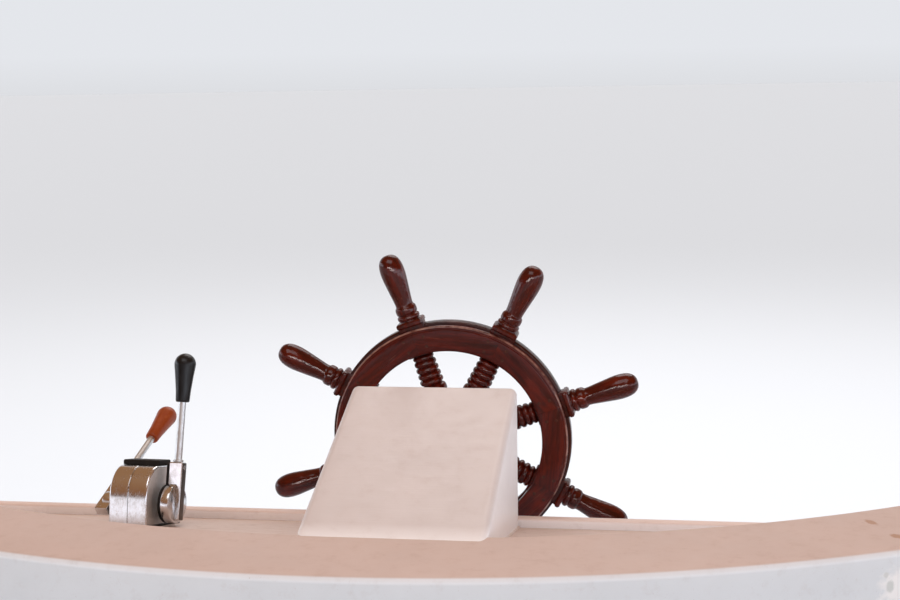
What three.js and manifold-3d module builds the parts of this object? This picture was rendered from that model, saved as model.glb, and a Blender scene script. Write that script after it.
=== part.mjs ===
// Helm console of a dhow: spoked wooden wheel, wedge-shaped steering cowl,
// curved coaming with a sloping dash behind it, and a twin-lever engine control.
// Units are millimetres. +Z is up, the deck is z = 0, the bow is towards -Y
// and the person at the wheel stands on the +Y side.
import * as THREE from 'three';
import { ConvexGeometry } from 'three/addons/geometries/ConvexGeometry.js';
import { mergeVertices } from 'three/addons/utils/BufferGeometryUtils.js';
import Module from 'manifold-3d';

const wasm = await Module();
wasm.setup();
const { Manifold, Mesh: SolidMesh } = wasm;

// Driving dimensions
const gap = 0.3; // left between neighbouring solids

// wheel
const wheelCentreY = 400;
const wheelCentreZ = 920;
const wheelRakeDeg = 4;
const spokeCount = 8;
const firstSpokeDeg = 26.9;
const tipRadius = 380;
const rimInner = 178.5;
const frontRingOuter = 229;
const backRingOuter = 231;
const felloeOuter = 234.7;
const felloeInner = 185;
const felloeHalf = 12;
const rimFace = 26;
const spokeBlockWidth = 52;
const hubRadius = 78;
const hubHalf = 38;
const shaftRadius = 19;

// coaming and console body; its middle lies to one side of the wheel and cowl
const bodyMiddleX = -98;
const arcCentreY = 1451;
const frontRadius = 1875;
const halfWidth = 1150;
const cornerRadius = 220;
const aftY = 250;
const capWidth = 196;
const capTop = 910;
const capThick = 80;
const capRound = 10;
const wall = 22;
const plinthHeight = 100;
const plinthInset = 60;
const floorThick = 18;

// dash behind the coaming, falling towards the helm
const dashSlope = 0.2048;
const dashAftY = 218;
const dashAftZ = 796;
const dashThick = 18;
const lipTop = 812;
const lipBottom = 740;

// steering cowl
const cowlMiddleX = -2;
const cowlWidth = 304;
const cowlRidgeZ = 1058.5;
const cowlRidgeFrontY = 206;
const cowlSlope = 0.3402;
const cowlRound = 13;
const cowlWall = 6;
const cowlNose = -300; // the wedge runs on to here before it is trimmed
const cowlSkirtZ = 700;
const cowlFootY = -231;
const cowlFrontWallY = -200;

// engine control, turned so that it follows the curve of the coaming
const controlX = -517;
const controlY = 63;
const controlTurnDeg = 10;
const housingHalf = 38;
const housingHeight = 107;
const housingFront = -50;
const housingAft = 58;
const lidFront = -6;
const lidAft = 36;
const lidThick = 9;
const pivotHeight = 40;
const leverCentre = 68;
const leverWidth = 26;
const leverDepth = 17;
const leverTop = 114;
const gearHubRadius = 35;
const throttleHubRadius = 17;
const leverHubInner = 56;
const leverHubOuter = 72;
const spindleRadius = 6.5;
const rodRadius = 6.5;
const knobStart = 222;
const knobLength = 88.5;
const knobRadius = 19.4;
const gearLeanDeg = 5.4;
const throttleLeanDeg = 53.4;

// Materials
function paint(color, roughness, metalness) {
  return new THREE.MeshStandardMaterial({ color, roughness, metalness });
}
const wood = paint(0x4a231c, 0.3, 0);
const woodDark = paint(0x3a1a15, 0.35, 0);
const coamingPaint = paint(0xcdb0a3, 0.5, 0);
const cowlPaint = paint(0xd8c6be, 0.45, 0);
const panelPaint = paint(0xced1d6, 0.45, 0);
const plinthPaint = paint(0x4b4d50, 0.7, 0);
const brass = paint(0xb08a4a, 0.3, 1);
const steel = paint(0xb9bcc0, 0.25, 1);
const chrome = paint(0xd4d6d8, 0.12, 1);
const rubber = paint(0x1b1b1c, 0.8, 0);
const blackPlastic = paint(0x222226, 0.4, 0);
const brownPlastic = paint(0xa4512c, 0.45, 0);

// Solid helpers
function toSolid(geometry) {
  const bare = new THREE.BufferGeometry();
  bare.setAttribute('position', geometry.getAttribute('position').clone());
  if (geometry.index) {
    bare.setIndex(geometry.index.clone());
  }
  const welded = mergeVertices(bare, 1e-4);
  const solidMesh = new SolidMesh({
    numProp: 3,
    vertProperties: new Float32Array(welded.attributes.position.array),
    triVerts: new Uint32Array(welded.index.array),
  });
  solidMesh.merge();
  return new Manifold(solidMesh);
}

function toGeometry(solid) {
  const mesh = solid.getMesh();
  const geometry = new THREE.BufferGeometry();
  const positions = new Float32Array(mesh.numVert * 3);
  for (let i = 0; i < mesh.numVert; i += 1) {
    for (let k = 0; k < 3; k += 1) {
      positions[3 * i + k] = mesh.vertProperties[mesh.numProp * i + k];
    }
  }
  geometry.setAttribute('position', new THREE.BufferAttribute(positions, 3));
  geometry.setIndex(new THREE.BufferAttribute(new Uint32Array(mesh.triVerts), 1));
  geometry.computeVertexNormals();
  return geometry;
}

function join(...geometries) {
  let solid = toSolid(geometries[0]);
  for (const other of geometries.slice(1)) {
    solid = solid.add(toSolid(other));
  }
  return toGeometry(solid);
}

function cut(base, ...tools) {
  let solid = toSolid(base);
  for (const tool of tools) {
    solid = solid.subtract(toSolid(tool));
  }
  return toGeometry(solid);
}

function lathe(profile, segments = 32) {
  const points = profile.map(([r, h]) => new THREE.Vector2(r, h));
  return new THREE.LatheGeometry(points, segments);
}

function box(x0, x1, y0, y1, z0, z1) {
  const geometry = new THREE.BoxGeometry(x1 - x0, y1 - y0, z1 - z0);
  geometry.translate((x0 + x1) / 2, (y0 + y1) / 2, (z0 + z1) / 2);
  return geometry;
}

function shapeFrom(points) {
  return new THREE.Shape(points.map(([x, y]) => new THREE.Vector2(x, y)));
}

function extrude(shape, z0, z1, round = 0, steps = 3) {
  const options = { depth: z1 - z0 - 2 * round, bevelEnabled: round > 0, curveSegments: 24 };
  if (round > 0) {
    options.bevelThickness = round;
    options.bevelSize = round;
    options.bevelOffset = -round;
    options.bevelSegments = steps;
  }
  const geometry = new THREE.ExtrudeGeometry(shape, options);
  geometry.translate(0, 0, z0 + round);
  return geometry;
}

const root = new THREE.Group();
root.name = 'helm_console';

function add(parent, name, geometry, material) {
  const mesh = new THREE.Mesh(geometry, material);
  mesh.name = name;
  parent.add(mesh);
  return mesh;
}

// Console outline
// Half outline on the +X side, from the middle of the front to the aft corner.
function halfOutline(inset, aft = aftY, arcSteps = 22, filletSteps = 8) {
  const radius = frontRadius - inset;
  const side = halfWidth - inset;
  const filletX = halfWidth - cornerRadius;
  const filletY = arcCentreY - Math.sqrt((frontRadius - cornerRadius) ** 2 - filletX ** 2);
  const fillet = cornerRadius - inset;
  const endAngle = Math.atan2(filletX, arcCentreY - filletY);
  const points = [];
  for (let i = 0; i <= arcSteps; i += 1) {
    const angle = (endAngle * i) / arcSteps;
    points.push([radius * Math.sin(angle), arcCentreY - radius * Math.cos(angle)]);
  }
  for (let i = 1; i <= filletSteps; i += 1) {
    const angle = endAngle + ((Math.PI / 2 - endAngle) * i) / filletSteps;
    points.push([filletX + fillet * Math.sin(angle), filletY - fillet * Math.cos(angle)]);
  }
  points.push([side, aft]);
  return points;
}

function outline(inset, aft = aftY) {
  const right = halfOutline(inset, aft);
  const left = right.slice(1).map(([x, y]) => [-x, y]).reverse();
  return left.concat(right);
}

function horseshoe(outerInset, innerInset) {
  return shapeFrom(outline(outerInset).concat(outline(innerInset).reverse()));
}

function dashHeight(y) {
  return dashAftZ + dashSlope * (dashAftY - y);
}

function shearToDash(geometry, top) {
  const position = geometry.getAttribute('position');
  for (let i = 0; i < position.count; i += 1) {
    position.setZ(i, position.getZ(i) - top + dashHeight(position.getY(i)));
  }
  geometry.computeVertexNormals();
  return geometry;
}

// Console body
const body = new THREE.Group();
body.name = 'console_body';
body.position.x = bodyMiddleX;
root.add(body);

const floorTop = plinthHeight + floorThick;
const capBottom = capTop - capThick;

add(body, 'coaming_cap', extrude(horseshoe(0, capWidth), capBottom, capTop, capRound), coamingPaint);

add(
  body,
  'front_shell',
  extrude(horseshoe(3, 3 + wall), floorTop + gap, capBottom - gap),
  panelPaint,
);

const linerOuter = capWidth - 18;
add(
  body,
  'coaming_liner',
  extrude(horseshoe(linerOuter, capWidth), lipBottom + gap, capBottom - gap),
  coamingPaint,
);

const dashPlan = shapeFrom(outline(capWidth + gap, dashAftY - gap));
const dashFlat = extrude(dashPlan, 0, dashThick);
add(body, 'dash_board', shearToDash(dashFlat, dashThick), coamingPaint);

const dashSide = halfWidth - capWidth - gap;
const lipShape = shapeFrom([
  [dashAftY, lipBottom + gap],
  [aftY, lipBottom + gap],
  [aftY, lipTop - 8],
  [aftY - 3, lipTop - 2.5],
  [aftY - 8, lipTop],
  [dashAftY + 5, lipTop],
  [dashAftY + 1.5, lipTop - 1.5],
  [dashAftY, lipTop - 5],
]);
const lip = new THREE.ExtrudeGeometry(lipShape, { depth: 2 * dashSide, bevelEnabled: false });
lip.rotateX(Math.PI / 2);
lip.rotateZ(Math.PI / 2);
lip.translate(-dashSide, 0, 0);
add(body, 'dash_lip', lip, coamingPaint);

// aft panel, with ears that close the ends of the coaming
const panelSide = halfWidth - 3 - wall - gap;
const earInner = halfWidth - linerOuter + gap;
const aftShape = shapeFrom([
  [-panelSide, floorTop + gap],
  [panelSide, floorTop + gap],
  [panelSide, capBottom - gap],
  [earInner, capBottom - gap],
  [earInner, lipBottom],
  [-earInner, lipBottom],
  [-earInner, capBottom - gap],
  [-panelSide, capBottom - gap],
]);
const aftPanel = new THREE.ExtrudeGeometry(aftShape, { depth: wall, bevelEnabled: false });
aftPanel.rotateX(Math.PI / 2);
aftPanel.translate(0, aftY, 0);
add(body, 'aft_panel', aftPanel, panelPaint);

const coverShape = shapeFrom([
  [-270, 220],
  [270, 220],
  [270, 670],
  [-270, 670],
]);
const cover = extrude(coverShape, 0, 10, 3, 2);
cover.rotateX(Math.PI / 2);
cover.translate(0, aftY + 10 + gap, 0);
add(body, 'access_cover', cover, panelPaint);

add(body, 'floor_board', extrude(shapeFrom(outline(3)), plinthHeight + gap, floorTop), panelPaint);

const plinthShape = shapeFrom(outline(plinthInset, aftY - plinthInset));
add(body, 'plinth', extrude(plinthShape, 0, plinthHeight), plinthPaint);

// Steering cowl
function wedge(inset) {
  const r = Math.max(cowlRound - inset, 2);
  const x = cowlWidth / 2 - inset - r;
  const aft = dashAftY - inset - r;
  const tilt = Math.atan(cowlSlope);
  const lift = (inset + r) / Math.cos(tilt);
  const slopeAt = (y) => cowlRidgeZ - cowlSlope * (cowlRidgeFrontY - y) - lift;
  const ridge = Math.min(cowlRidgeZ - inset - r, slopeAt(aft));
  const ridgeY = cowlRidgeFrontY - (cowlRidgeZ - lift - ridge) / cowlSlope;
  const centres = [];
  for (const side of [-x, x]) {
    centres.push([side, aft, ridge]);
    centres.push([side, Math.min(ridgeY, aft), ridge]);
    centres.push([side, aft, cowlSkirtZ]);
    centres.push([side, cowlNose, slopeAt(cowlNose)]);
    centres.push([side, cowlNose, cowlSkirtZ]);
  }
  const ball = new THREE.SphereGeometry(r, 16, 8).getAttribute('position');
  const points = [];
  for (const [px, py, pz] of centres) {
    for (let i = 0; i < ball.count; i += 1) {
      points.push(new THREE.Vector3(px + ball.getX(i), py + ball.getY(i), pz + ball.getZ(i)));
    }
  }
  return toSolid(new ConvexGeometry(points).translate(cowlMiddleX, 0, 0));
}

function belowDash(offset) {
  const slab = shearToDash(box(-400, 400, -500, 400, -300, 0), 0);
  slab.translate(0, 0, offset);
  return toSolid(slab);
}

const ringShape = extrude(horseshoe(-60, capWidth + gap), 500, capTop + gap);
const capRing = toSolid(ringShape.translate(bodyMiddleX, 0, 0));
const cowlOuter = wedge(0).subtract(belowDash(gap)).subtract(capRing);
const frontTrim = toSolid(box(-400, 400, -600, cowlFootY, 600, 1000));
const cowlInner = wedge(cowlWall).subtract(toSolid(box(-400, 400, -600, cowlFrontWallY, 500, 1000)));
const wheelFrame = new THREE.Matrix4()
  .makeTranslation(0, wheelCentreY, wheelCentreZ)
  .multiply(new THREE.Matrix4().makeRotationX(THREE.MathUtils.degToRad(90 + wheelRakeDeg)));

function alongShaft(radius, from, to, segments = 32) {
  const rod = new THREE.CylinderGeometry(radius, radius, to - from, segments);
  rod.rotateX(Math.PI / 2);
  rod.translate(0, 0, (from + to) / 2);
  return rod;
}
const shaftHole = toSolid(alongShaft(shaftRadius + 4, 150, 215).applyMatrix4(wheelFrame));
const cowl = cowlOuter.subtract(cowlInner).subtract(frontTrim).subtract(shaftHole);
add(root, 'steering_cowl', toGeometry(cowl), cowlPaint);

// bearing flange on the aft face of the cowl
const flangeDisc = new THREE.CylinderGeometry(62, 62, 14, 40);
flangeDisc.translate(0, dashAftY + gap + 7, wheelCentreZ - 13);
const flangeBoss = alongShaft(36, 110, 172).applyMatrix4(wheelFrame);
const flangeBore = alongShaft(shaftRadius + 0.8, 60, 260).applyMatrix4(wheelFrame);
const bearing = cut(join(flangeDisc, flangeBoss), flangeBore);
add(root, 'bearing_flange', bearing, steel);

// Wheel
const wheel = new THREE.Group();
wheel.name = 'wheel';
wheel.position.set(0, wheelCentreY, wheelCentreZ);
wheel.rotation.x = THREE.MathUtils.degToRad(90 + wheelRakeDeg);
root.add(wheel);

// In the wheel group +Z points forward along the shaft and +Y is the top of the wheel.
function ring(profile, segments = 64) {
  const closed = profile.concat([profile[0]]);
  const geometry = lathe(closed, segments);
  geometry.rotateX(Math.PI / 2);
  return geometry;
}

const faceStart = felloeHalf + gap;
add(
  wheel,
  'rim_front_ring',
  ring([
    [rimInner, faceStart],
    [frontRingOuter, faceStart],
    [frontRingOuter, rimFace - 9],
    [frontRingOuter - 2, rimFace - 6],
    [frontRingOuter - 4, rimFace - 5],
    [frontRingOuter - 4.5, rimFace - 2.5],
    [frontRingOuter - 7, rimFace],
    [rimInner + 3, rimFace],
    [rimInner, rimFace - 3],
  ]),
  wood,
);
add(
  wheel,
  'rim_back_ring',
  ring([
    [rimInner, -rimFace + 3],
    [rimInner + 3, -rimFace],
    [backRingOuter - 6, -rimFace],
    [backRingOuter - 1, -rimFace + 4],
    [backRingOuter, -rimFace + 8],
    [backRingOuter, -faceStart],
    [rimInner, -faceStart],
  ]),
  wood,
);

const spokeStep = (2 * Math.PI) / spokeCount;
const firstSpoke = THREE.MathUtils.degToRad(firstSpokeDeg);

function felloe() {
  const half = spokeBlockWidth / 2 + gap;
  const steps = 10;
  const outer = [];
  const inner = [];
  const outerStart = Math.asin(half / felloeOuter);
  const innerStart = Math.asin(half / felloeInner);
  for (let i = 0; i <= steps; i += 1) {
    const t = i / steps;
    const a = outerStart + (spokeStep - 2 * outerStart) * t;
    const b = innerStart + (spokeStep - 2 * innerStart) * t;
    outer.push([felloeOuter * Math.sin(a), felloeOuter * Math.cos(a)]);
    inner.push([felloeInner * Math.sin(b), felloeInner * Math.cos(b)]);
  }
  return extrude(shapeFrom(outer.concat(inner.reverse())), -felloeHalf, felloeHalf, 1.5, 1);
}

// Turned spoke standing along +Y: beads inside the rim, square block through it,
// collars and the club-shaped handle outside.
const innerTurning = [
  [0, hubRadius + gap],
  [18, hubRadius + gap],
  [17, 89],
  [24, 97],
  [24.5, 107],
  [18.5, 113.5],
  [23.5, 120],
  [19, 126.3],
  [23, 132.5],
  [18.5, 138.8],
  [22.5, 145],
  [18.5, 151.3],
  [22, 157.5],
  [18, 163.8],
  [21, 170],
  [11, 176],
  [0, 176],
];
const outerTurning = [
  [0, 244],
  [20, 244],
  [19, 249],
  [21.8, 252.5],
  [21.8, 258.5],
  [17.8, 263],
  [20.4, 266.5],
  [20.4, 272],
  [17, 276.5],
  [17.8, 290],
  [21, 315],
  [23.5, 340],
  [22.6, 358],
  [18.4, 371],
  [10, 378.5],
  [0, tipRadius],
];

function spoke() {
  const block = box(
    -spokeBlockWidth / 2,
    spokeBlockWidth / 2,
    174,
    240,
    -felloeHalf + gap,
    felloeHalf - gap,
  );
  const base = shapeFrom([
    [-26, 236],
    [26, 236],
    [26, 243],
    [23, 247],
    [-23, 247],
    [-26, 243],
  ]);
  const pad = extrude(base, -22, 22, 3, 1);
  return join(lathe(innerTurning, 14), block, pad, lathe(outerTurning, 18));
}

const spokeGeometry = spoke();
const felloeGeometry = felloe();
for (let i = 0; i < spokeCount; i += 1) {
  const turn = -(firstSpoke + i * spokeStep);
  const spokeMesh = add(wheel, `spoke_${i + 1}`, spokeGeometry, wood);
  spokeMesh.rotation.z = turn;
  const felloeMesh = add(wheel, `felloe_${i + 1}`, felloeGeometry, woodDark);
  felloeMesh.rotation.z = turn;
}

const hubProfile = [
  [shaftRadius + gap, -hubHalf],
  [60, -hubHalf],
  [66, -hubHalf + 3],
  [69, -hubHalf + 10],
  [hubRadius - 3, -22],
  [hubRadius, -18],
  [hubRadius, 18],
  [hubRadius - 3, 22],
  [69, hubHalf - 10],
  [66, hubHalf - 3],
  [60, hubHalf],
  [shaftRadius + gap, hubHalf],
];
add(wheel, 'hub', ring(hubProfile, 40), wood);

function hubPlate(side) {
  const plate = ring(
    [
      [shaftRadius + gap, hubHalf + gap],
      [52, hubHalf + gap],
      [52, hubHalf + 3],
      [50, hubHalf + 4.5],
      [shaftRadius + gap, hubHalf + 4.5],
    ],
    48,
  );
  if (side < 0) {
    plate.rotateX(Math.PI);
  }
  return plate;
}
add(wheel, 'hub_plate_front', hubPlate(1), brass);
add(wheel, 'hub_plate_aft', hubPlate(-1), brass);

add(wheel, 'wheel_shaft', alongShaft(shaftRadius, -hubHalf - 6, 236), steel);

const capNut = lathe(
  [
    [0, 0],
    [27, 0],
    [27, 5],
    [22, 6],
    [21, 14],
    [17, 20],
    [9, 24],
    [0, 25],
  ],
  32,
);
capNut.rotateX(-Math.PI / 2);
capNut.translate(0, 0, -hubHalf - 6 - gap);
add(wheel, 'hub_nut', capNut, brass);

// Engine control
const control = new THREE.Group();
control.name = 'engine_control';
control.position.set(controlX, controlY, dashHeight(controlY) + gap);
control.rotation.set(-Math.atan(dashSlope), 0, -THREE.MathUtils.degToRad(controlTurnDeg));
root.add(control);

const gasketThick = 3;
const gasket = box(-housingHalf - 6, housingHalf + 6, housingFront - 6, housingAft + 6, 0, gasketThick);
add(control, 'control_gasket', gasket, rubber);

// Side outline of the housing: upright front, quarter-round shoulders, flat top.
function housingShape() {
  const foot = gasketThick + gap;
  const frontSpring = 50;
  const aftSpring = 40;
  const steps = 9;
  const points = [[housingFront, foot]];
  for (let i = 0; i <= steps; i += 1) {
    const angle = (Math.PI / 2) * (i / steps);
    const y = lidFront - (lidFront - housingFront) * Math.cos(angle);
    points.push([y, frontSpring + (housingHeight - frontSpring) * Math.sin(angle)]);
  }
  for (let i = 0; i <= steps; i += 1) {
    const angle = (Math.PI / 2) * (1 - i / steps);
    const y = lidAft + (housingAft - lidAft) * Math.cos(angle);
    points.push([y, aftSpring + (housingHeight - aftSpring) * Math.sin(angle)]);
  }
  points.push([housingAft, foot]);
  return shapeFrom(points.reverse());
}

function sideways(shape, x0, x1, round, steps = 2) {
  const geometry = extrude(shape, x0, x1, round, steps);
  geometry.rotateX(Math.PI / 2);
  geometry.rotateZ(Math.PI / 2);
  return geometry;
}
const housingSide = housingShape();
add(control, 'housing_starboard', sideways(housingSide, -housingHalf, -gap, 1.5), chrome);
add(control, 'housing_port', sideways(housingSide, gap, housingHalf, 1.5), chrome);

const lidBottom = housingHeight + gap;
const lidShape = shapeFrom([
  [lidFront, lidBottom],
  [lidAft, lidBottom],
  [lidAft, lidBottom + lidThick - 3],
  [lidAft - 3, lidBottom + lidThick],
  [lidFront + 3, lidBottom + lidThick],
  [lidFront, lidBottom + lidThick - 3],
]);
add(control, 'control_lid', sideways(lidShape, -housingHalf + 1, housingHalf - 1, 1.5), rubber);

// A lever's round hub, standing off the housing's side on its spindle.
function leverHub(side, leverHubRadius) {
  const hubTurning = lathe(
    [
      [0, housingHalf + gap],
      [spindleRadius, housingHalf + gap],
      [spindleRadius, leverHubInner],
      [leverHubRadius, leverHubInner],
      [leverHubRadius, leverHubOuter],
      [0, leverHubOuter],
    ],
    40,
  );
  hubTurning.rotateZ((-side * Math.PI) / 2);
  return hubTurning;
}

// The bar stands over the hub and laps down its outer face.
function leverBar(side, leverHubRadius) {
  const half = leverDepth / 2;
  const foot = 30;
  const top = leverTop - pivotHeight;
  const barShape = shapeFrom([
    [-half, -foot + 4],
    [-half + 4, -foot],
    [half - 4, -foot],
    [half, -foot + 4],
    [half, top],
    [-half, top],
  ]);
  const middle = side * leverCentre;
  const bar = sideways(barShape, middle - leverWidth / 2, middle + leverWidth / 2, 2);
  const roomRadius = leverHubRadius + gap;
  const roomLength = leverHubOuter + gap;
  const room = new THREE.CylinderGeometry(roomRadius, roomRadius, roomLength, 40);
  room.rotateZ(Math.PI / 2);
  room.translate((side * roomLength) / 2, 0, 0);
  return cut(bar, room);
}

// Tapered grip with a hemispherical end.
function knobTurning() {
  const shoulder = knobLength - knobRadius;
  const profile = [
    [0, 0],
    [11.5, 0],
    [12.4, 1.5],
    [13.6, 20],
    [16.2, 44],
    [knobRadius, shoulder],
  ];
  const steps = 6;
  for (let i = 1; i < steps; i += 1) {
    const angle = (Math.PI / 2) * (i / steps);
    profile.push([knobRadius * Math.cos(angle), shoulder + knobRadius * Math.sin(angle)]);
  }
  profile.push([0, knobLength]);
  const knob = lathe(profile, 28);
  knob.rotateX(Math.PI / 2);
  return knob;
}

function leverSet(side, names, leverHubRadius, knobMaterial) {
  const lever = new THREE.Group();
  lever.position.set(0, 0, pivotHeight);
  add(lever, names[0], leverHub(side, leverHubRadius), chrome);
  add(lever, names[1], leverBar(side, leverHubRadius), chrome);

  const rodX = side * leverCentre;
  const rodLength = knobStart - leverTop - 2 * gap;
  const rod = new THREE.CylinderGeometry(rodRadius, rodRadius, rodLength, 24);
  rod.rotateX(Math.PI / 2);
  rod.translate(rodX, 0, leverTop - pivotHeight + gap + rodLength / 2);
  add(lever, names[2], rod, chrome);

  const knob = knobTurning();
  knob.translate(rodX, 0, knobStart - pivotHeight);
  add(lever, names[3], knob, knobMaterial);
  return lever;
}

const gearNames = ['gear_disc', 'gear_bar', 'gear_rod', 'gear_knob'];
const gearLever = leverSet(1, gearNames, gearHubRadius, blackPlastic);
gearLever.name = 'gear_lever';
gearLever.rotation.x = -THREE.MathUtils.degToRad(gearLeanDeg);
control.add(gearLever);

const throttleNames = ['throttle_disc', 'throttle_bar', 'throttle_rod', 'throttle_knob'];
const throttleLever = leverSet(-1, throttleNames, throttleHubRadius, brownPlastic);
throttleLever.name = 'throttle_lever';
throttleLever.rotation.x = -THREE.MathUtils.degToRad(throttleLeanDeg);
control.add(throttleLever);

export default root;
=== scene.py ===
import math
import random

import bmesh
import bpy
import numpy as np
from mathutils import Matrix, Vector


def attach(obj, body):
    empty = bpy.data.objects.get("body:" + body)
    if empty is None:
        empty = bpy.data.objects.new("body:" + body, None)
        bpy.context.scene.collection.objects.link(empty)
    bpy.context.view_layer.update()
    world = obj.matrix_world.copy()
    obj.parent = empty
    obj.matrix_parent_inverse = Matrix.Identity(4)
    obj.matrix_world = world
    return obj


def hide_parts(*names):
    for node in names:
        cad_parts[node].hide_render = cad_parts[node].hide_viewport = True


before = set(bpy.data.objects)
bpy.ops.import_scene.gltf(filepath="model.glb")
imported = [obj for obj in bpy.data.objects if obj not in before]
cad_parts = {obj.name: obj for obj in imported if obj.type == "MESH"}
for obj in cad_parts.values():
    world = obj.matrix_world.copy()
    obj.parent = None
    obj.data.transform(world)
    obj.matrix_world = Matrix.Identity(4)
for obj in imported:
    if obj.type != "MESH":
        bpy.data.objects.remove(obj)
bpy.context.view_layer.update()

# Sizes in metres
GAP = 0.0003

WHEEL_CENTRE = Vector((0.0, 0.4, 0.92))
WHEEL_RAKE = math.radians(4.0)
SPOKES = 8
FIRST_SPOKE = math.radians(26.9)
SPOKE_STEP = 2 * math.pi / SPOKES
RIM_INNER = 0.1785
FRONT_RING_OUTER = 0.229
BACK_RING_OUTER = 0.231
FELLOE_OUTER = 0.2347
FELLOE_INNER = 0.185
FELLOE_HALF = 0.012
RIM_FACE = 0.026
BLOCK_WIDTH = 0.052
HUB_HALF = 0.038
BORE_OF_HUB = 0.0193
PLATE_FACE = 0.0425
SHAFT_RADIUS = 0.019
SHAFT_END = 0.236

BODY_MIDDLE_X = -0.098
ARC_CENTRE_Y = 1.451
FRONT_RADIUS = 1.875
HALF_WIDTH = 1.150
CORNER_RADIUS = 0.220
AFT_Y = 0.250
CAP_WIDTH = 0.196
CAP_TOP = 0.910
CAP_BOTTOM = 0.830
WALL = 0.022
SKIN_INSET = 0.003
PLINTH_HEIGHT = 0.100
PLINTH_INSET = 0.060
FLOOR_TOP = 0.118
LINER_THICK = 0.018

DASH_SLOPE = 0.2048
DASH_AFT_Y = 0.218
DASH_AFT_Z = 0.796
DASH_THICK = 0.018
LIP_TOP = 0.812
LIP_BOTTOM = 0.740

COWL_MIDDLE_X = -0.002
COWL_WIDTH = 0.304
COWL_RIDGE_Z = 1.0585
COWL_RIDGE_Y = 0.206
COWL_SLOPE = 0.3402
COWL_ROUND = 0.013
COWL_CLEAR = 0.0006

CONTROL_X = -0.517
CONTROL_Y = 0.063
CONTROL_TURN = math.radians(10)
HOUSING_HALF = 0.038
HOUSING_HEIGHT = 0.107
HOUSING_FRONT = -0.050
HOUSING_AFT = 0.058
LID_FRONT = -0.006
LID_AFT = 0.036
LID_THICK = 0.009
GASKET_THICK = 0.003
PIVOT_HEIGHT = 0.040
LEVER_CENTRE = 0.068
LEVER_WIDTH = 0.026
LEVER_DEPTH = 0.017
LEVER_TOP = 0.114
LEVER_FOOT = -0.030
SET_SCREW_HEIGHT = 0.064
GEAR_HUB_RADIUS = 0.035
THROTTLE_HUB_RADIUS = 0.017
LEVER_HUB_INNER = 0.056
LEVER_HUB_OUTER = 0.072
SPINDLE_RADIUS = 0.0065
ROD_RADIUS = 0.0065
KNOB_START = 0.222
KNOB_LENGTH = 0.0885
KNOB_RADIUS = 0.0194
GEAR_LEAN = math.radians(5.4)
THROTTLE_LEAN = math.radians(53.4)

# Edges turned by more than this, in degrees, stay sharp
SHARP = 34


def dash_height(y):
    return DASH_AFT_Z + DASH_SLOPE * (DASH_AFT_Y - y)


BODY_FRAME = Matrix.Translation((BODY_MIDDLE_X, 0, 0))
WHEEL_FRAME = Matrix.Translation(WHEEL_CENTRE) @ Matrix.Rotation(math.pi / 2 + WHEEL_RAKE, 4, "X")
CONTROL_FRAME = (
    Matrix.Translation((CONTROL_X, CONTROL_Y, dash_height(CONTROL_Y) + GAP))
    @ Matrix.Rotation(-math.atan(DASH_SLOPE), 4, "X")
    @ Matrix.Rotation(-CONTROL_TURN, 4, "Z")
)
LEVER_FRAME = CONTROL_FRAME @ Matrix.Translation((0, 0, PIVOT_HEIGHT))
GEAR_FRAME = LEVER_FRAME @ Matrix.Rotation(-GEAR_LEAN, 4, "X")
THROTTLE_FRAME = LEVER_FRAME @ Matrix.Rotation(-THROTTLE_LEAN, 4, "X")


# Finishes
def linear(code):
    """sRGB hex colour to linear, with alpha 1."""
    out = []
    for i in (1, 3, 5):
        c = int(code[i : i + 2], 16) / 255
        out.append(c / 12.92 if c <= 0.04045 else ((c + 0.055) / 1.055) ** 2.4)
    return (*out, 1.0)


def add(tree, kind, inputs=None, **settings):
    """Adds a node; an input is a value, or an output to link."""
    made = tree.nodes.new(kind)
    for key, value in settings.items():
        setattr(made, key, value)
    for key, value in (inputs or {}).items():
        if isinstance(value, bpy.types.NodeSocket):
            tree.links.new(value, made.inputs[key])
        else:
            made.inputs[key].default_value = value
    return made


def new_material(name):
    material = bpy.data.materials.new(name)
    material.use_nodes = True
    material.node_tree.nodes.clear()
    return material, material.node_tree


def noise(tree, place, size_mm, detail, roughness=0.5, stretch=(1, 1, 1)):
    """Cloudy values with features of about size_mm, drawn out along an axis by a stretch over 1."""
    scale = tuple(1000.0 / (size_mm * s) for s in stretch)
    laid = add(tree, "ShaderNodeMapping", {"Vector": place, "Scale": scale}).outputs[0]
    inputs = {"Vector": laid, "Scale": 1.0, "Detail": detail, "Roughness": roughness}
    return add(tree, "ShaderNodeTexNoise", inputs).outputs["Fac"]


def spread(tree, value, low, high, to_low=0.0, to_high=1.0):
    inputs = {"Value": value, "From Min": low, "From Max": high, "To Min": to_low, "To Max": to_high}
    return add(tree, "ShaderNodeMapRange", inputs).outputs[0]


def blend(tree, amount, first, second):
    inputs = {0: amount, 6: first, 7: second}
    return add(tree, "ShaderNodeMix", inputs, data_type="RGBA").outputs[2]


def maths(tree, operation, *values):
    return add(tree, "ShaderNodeMath", dict(enumerate(values)), operation=operation).outputs[0]


def ramp(tree, amount, stops):
    """Colours from (place, hex colour) stops."""
    made = add(tree, "ShaderNodeValToRGB", {"Fac": amount})
    marks = made.color_ramp.elements
    while len(marks) < len(stops):
        marks.new(0.5)
    for mark, (place, colour) in zip(marks, stops):
        mark.position = place
        mark.color = linear(colour)
    return made.outputs["Color"]


def fleck(tree, colour, paint, cloud, low, high, amount=1.0):
    """Lays paint over a colour where the cloudy values run from low to high."""
    return blend(tree, spread(tree, cloud, low, high, 0.0, amount), colour, linear(paint))


def shaded(tree, colour, value):
    return add(tree, "ShaderNodeHueSaturation", {"Value": value, "Color": colour}).outputs[0]


def attribute(tree, name, output="Fac"):
    return add(tree, "ShaderNodeAttribute", attribute_name=name).outputs[output]


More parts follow.
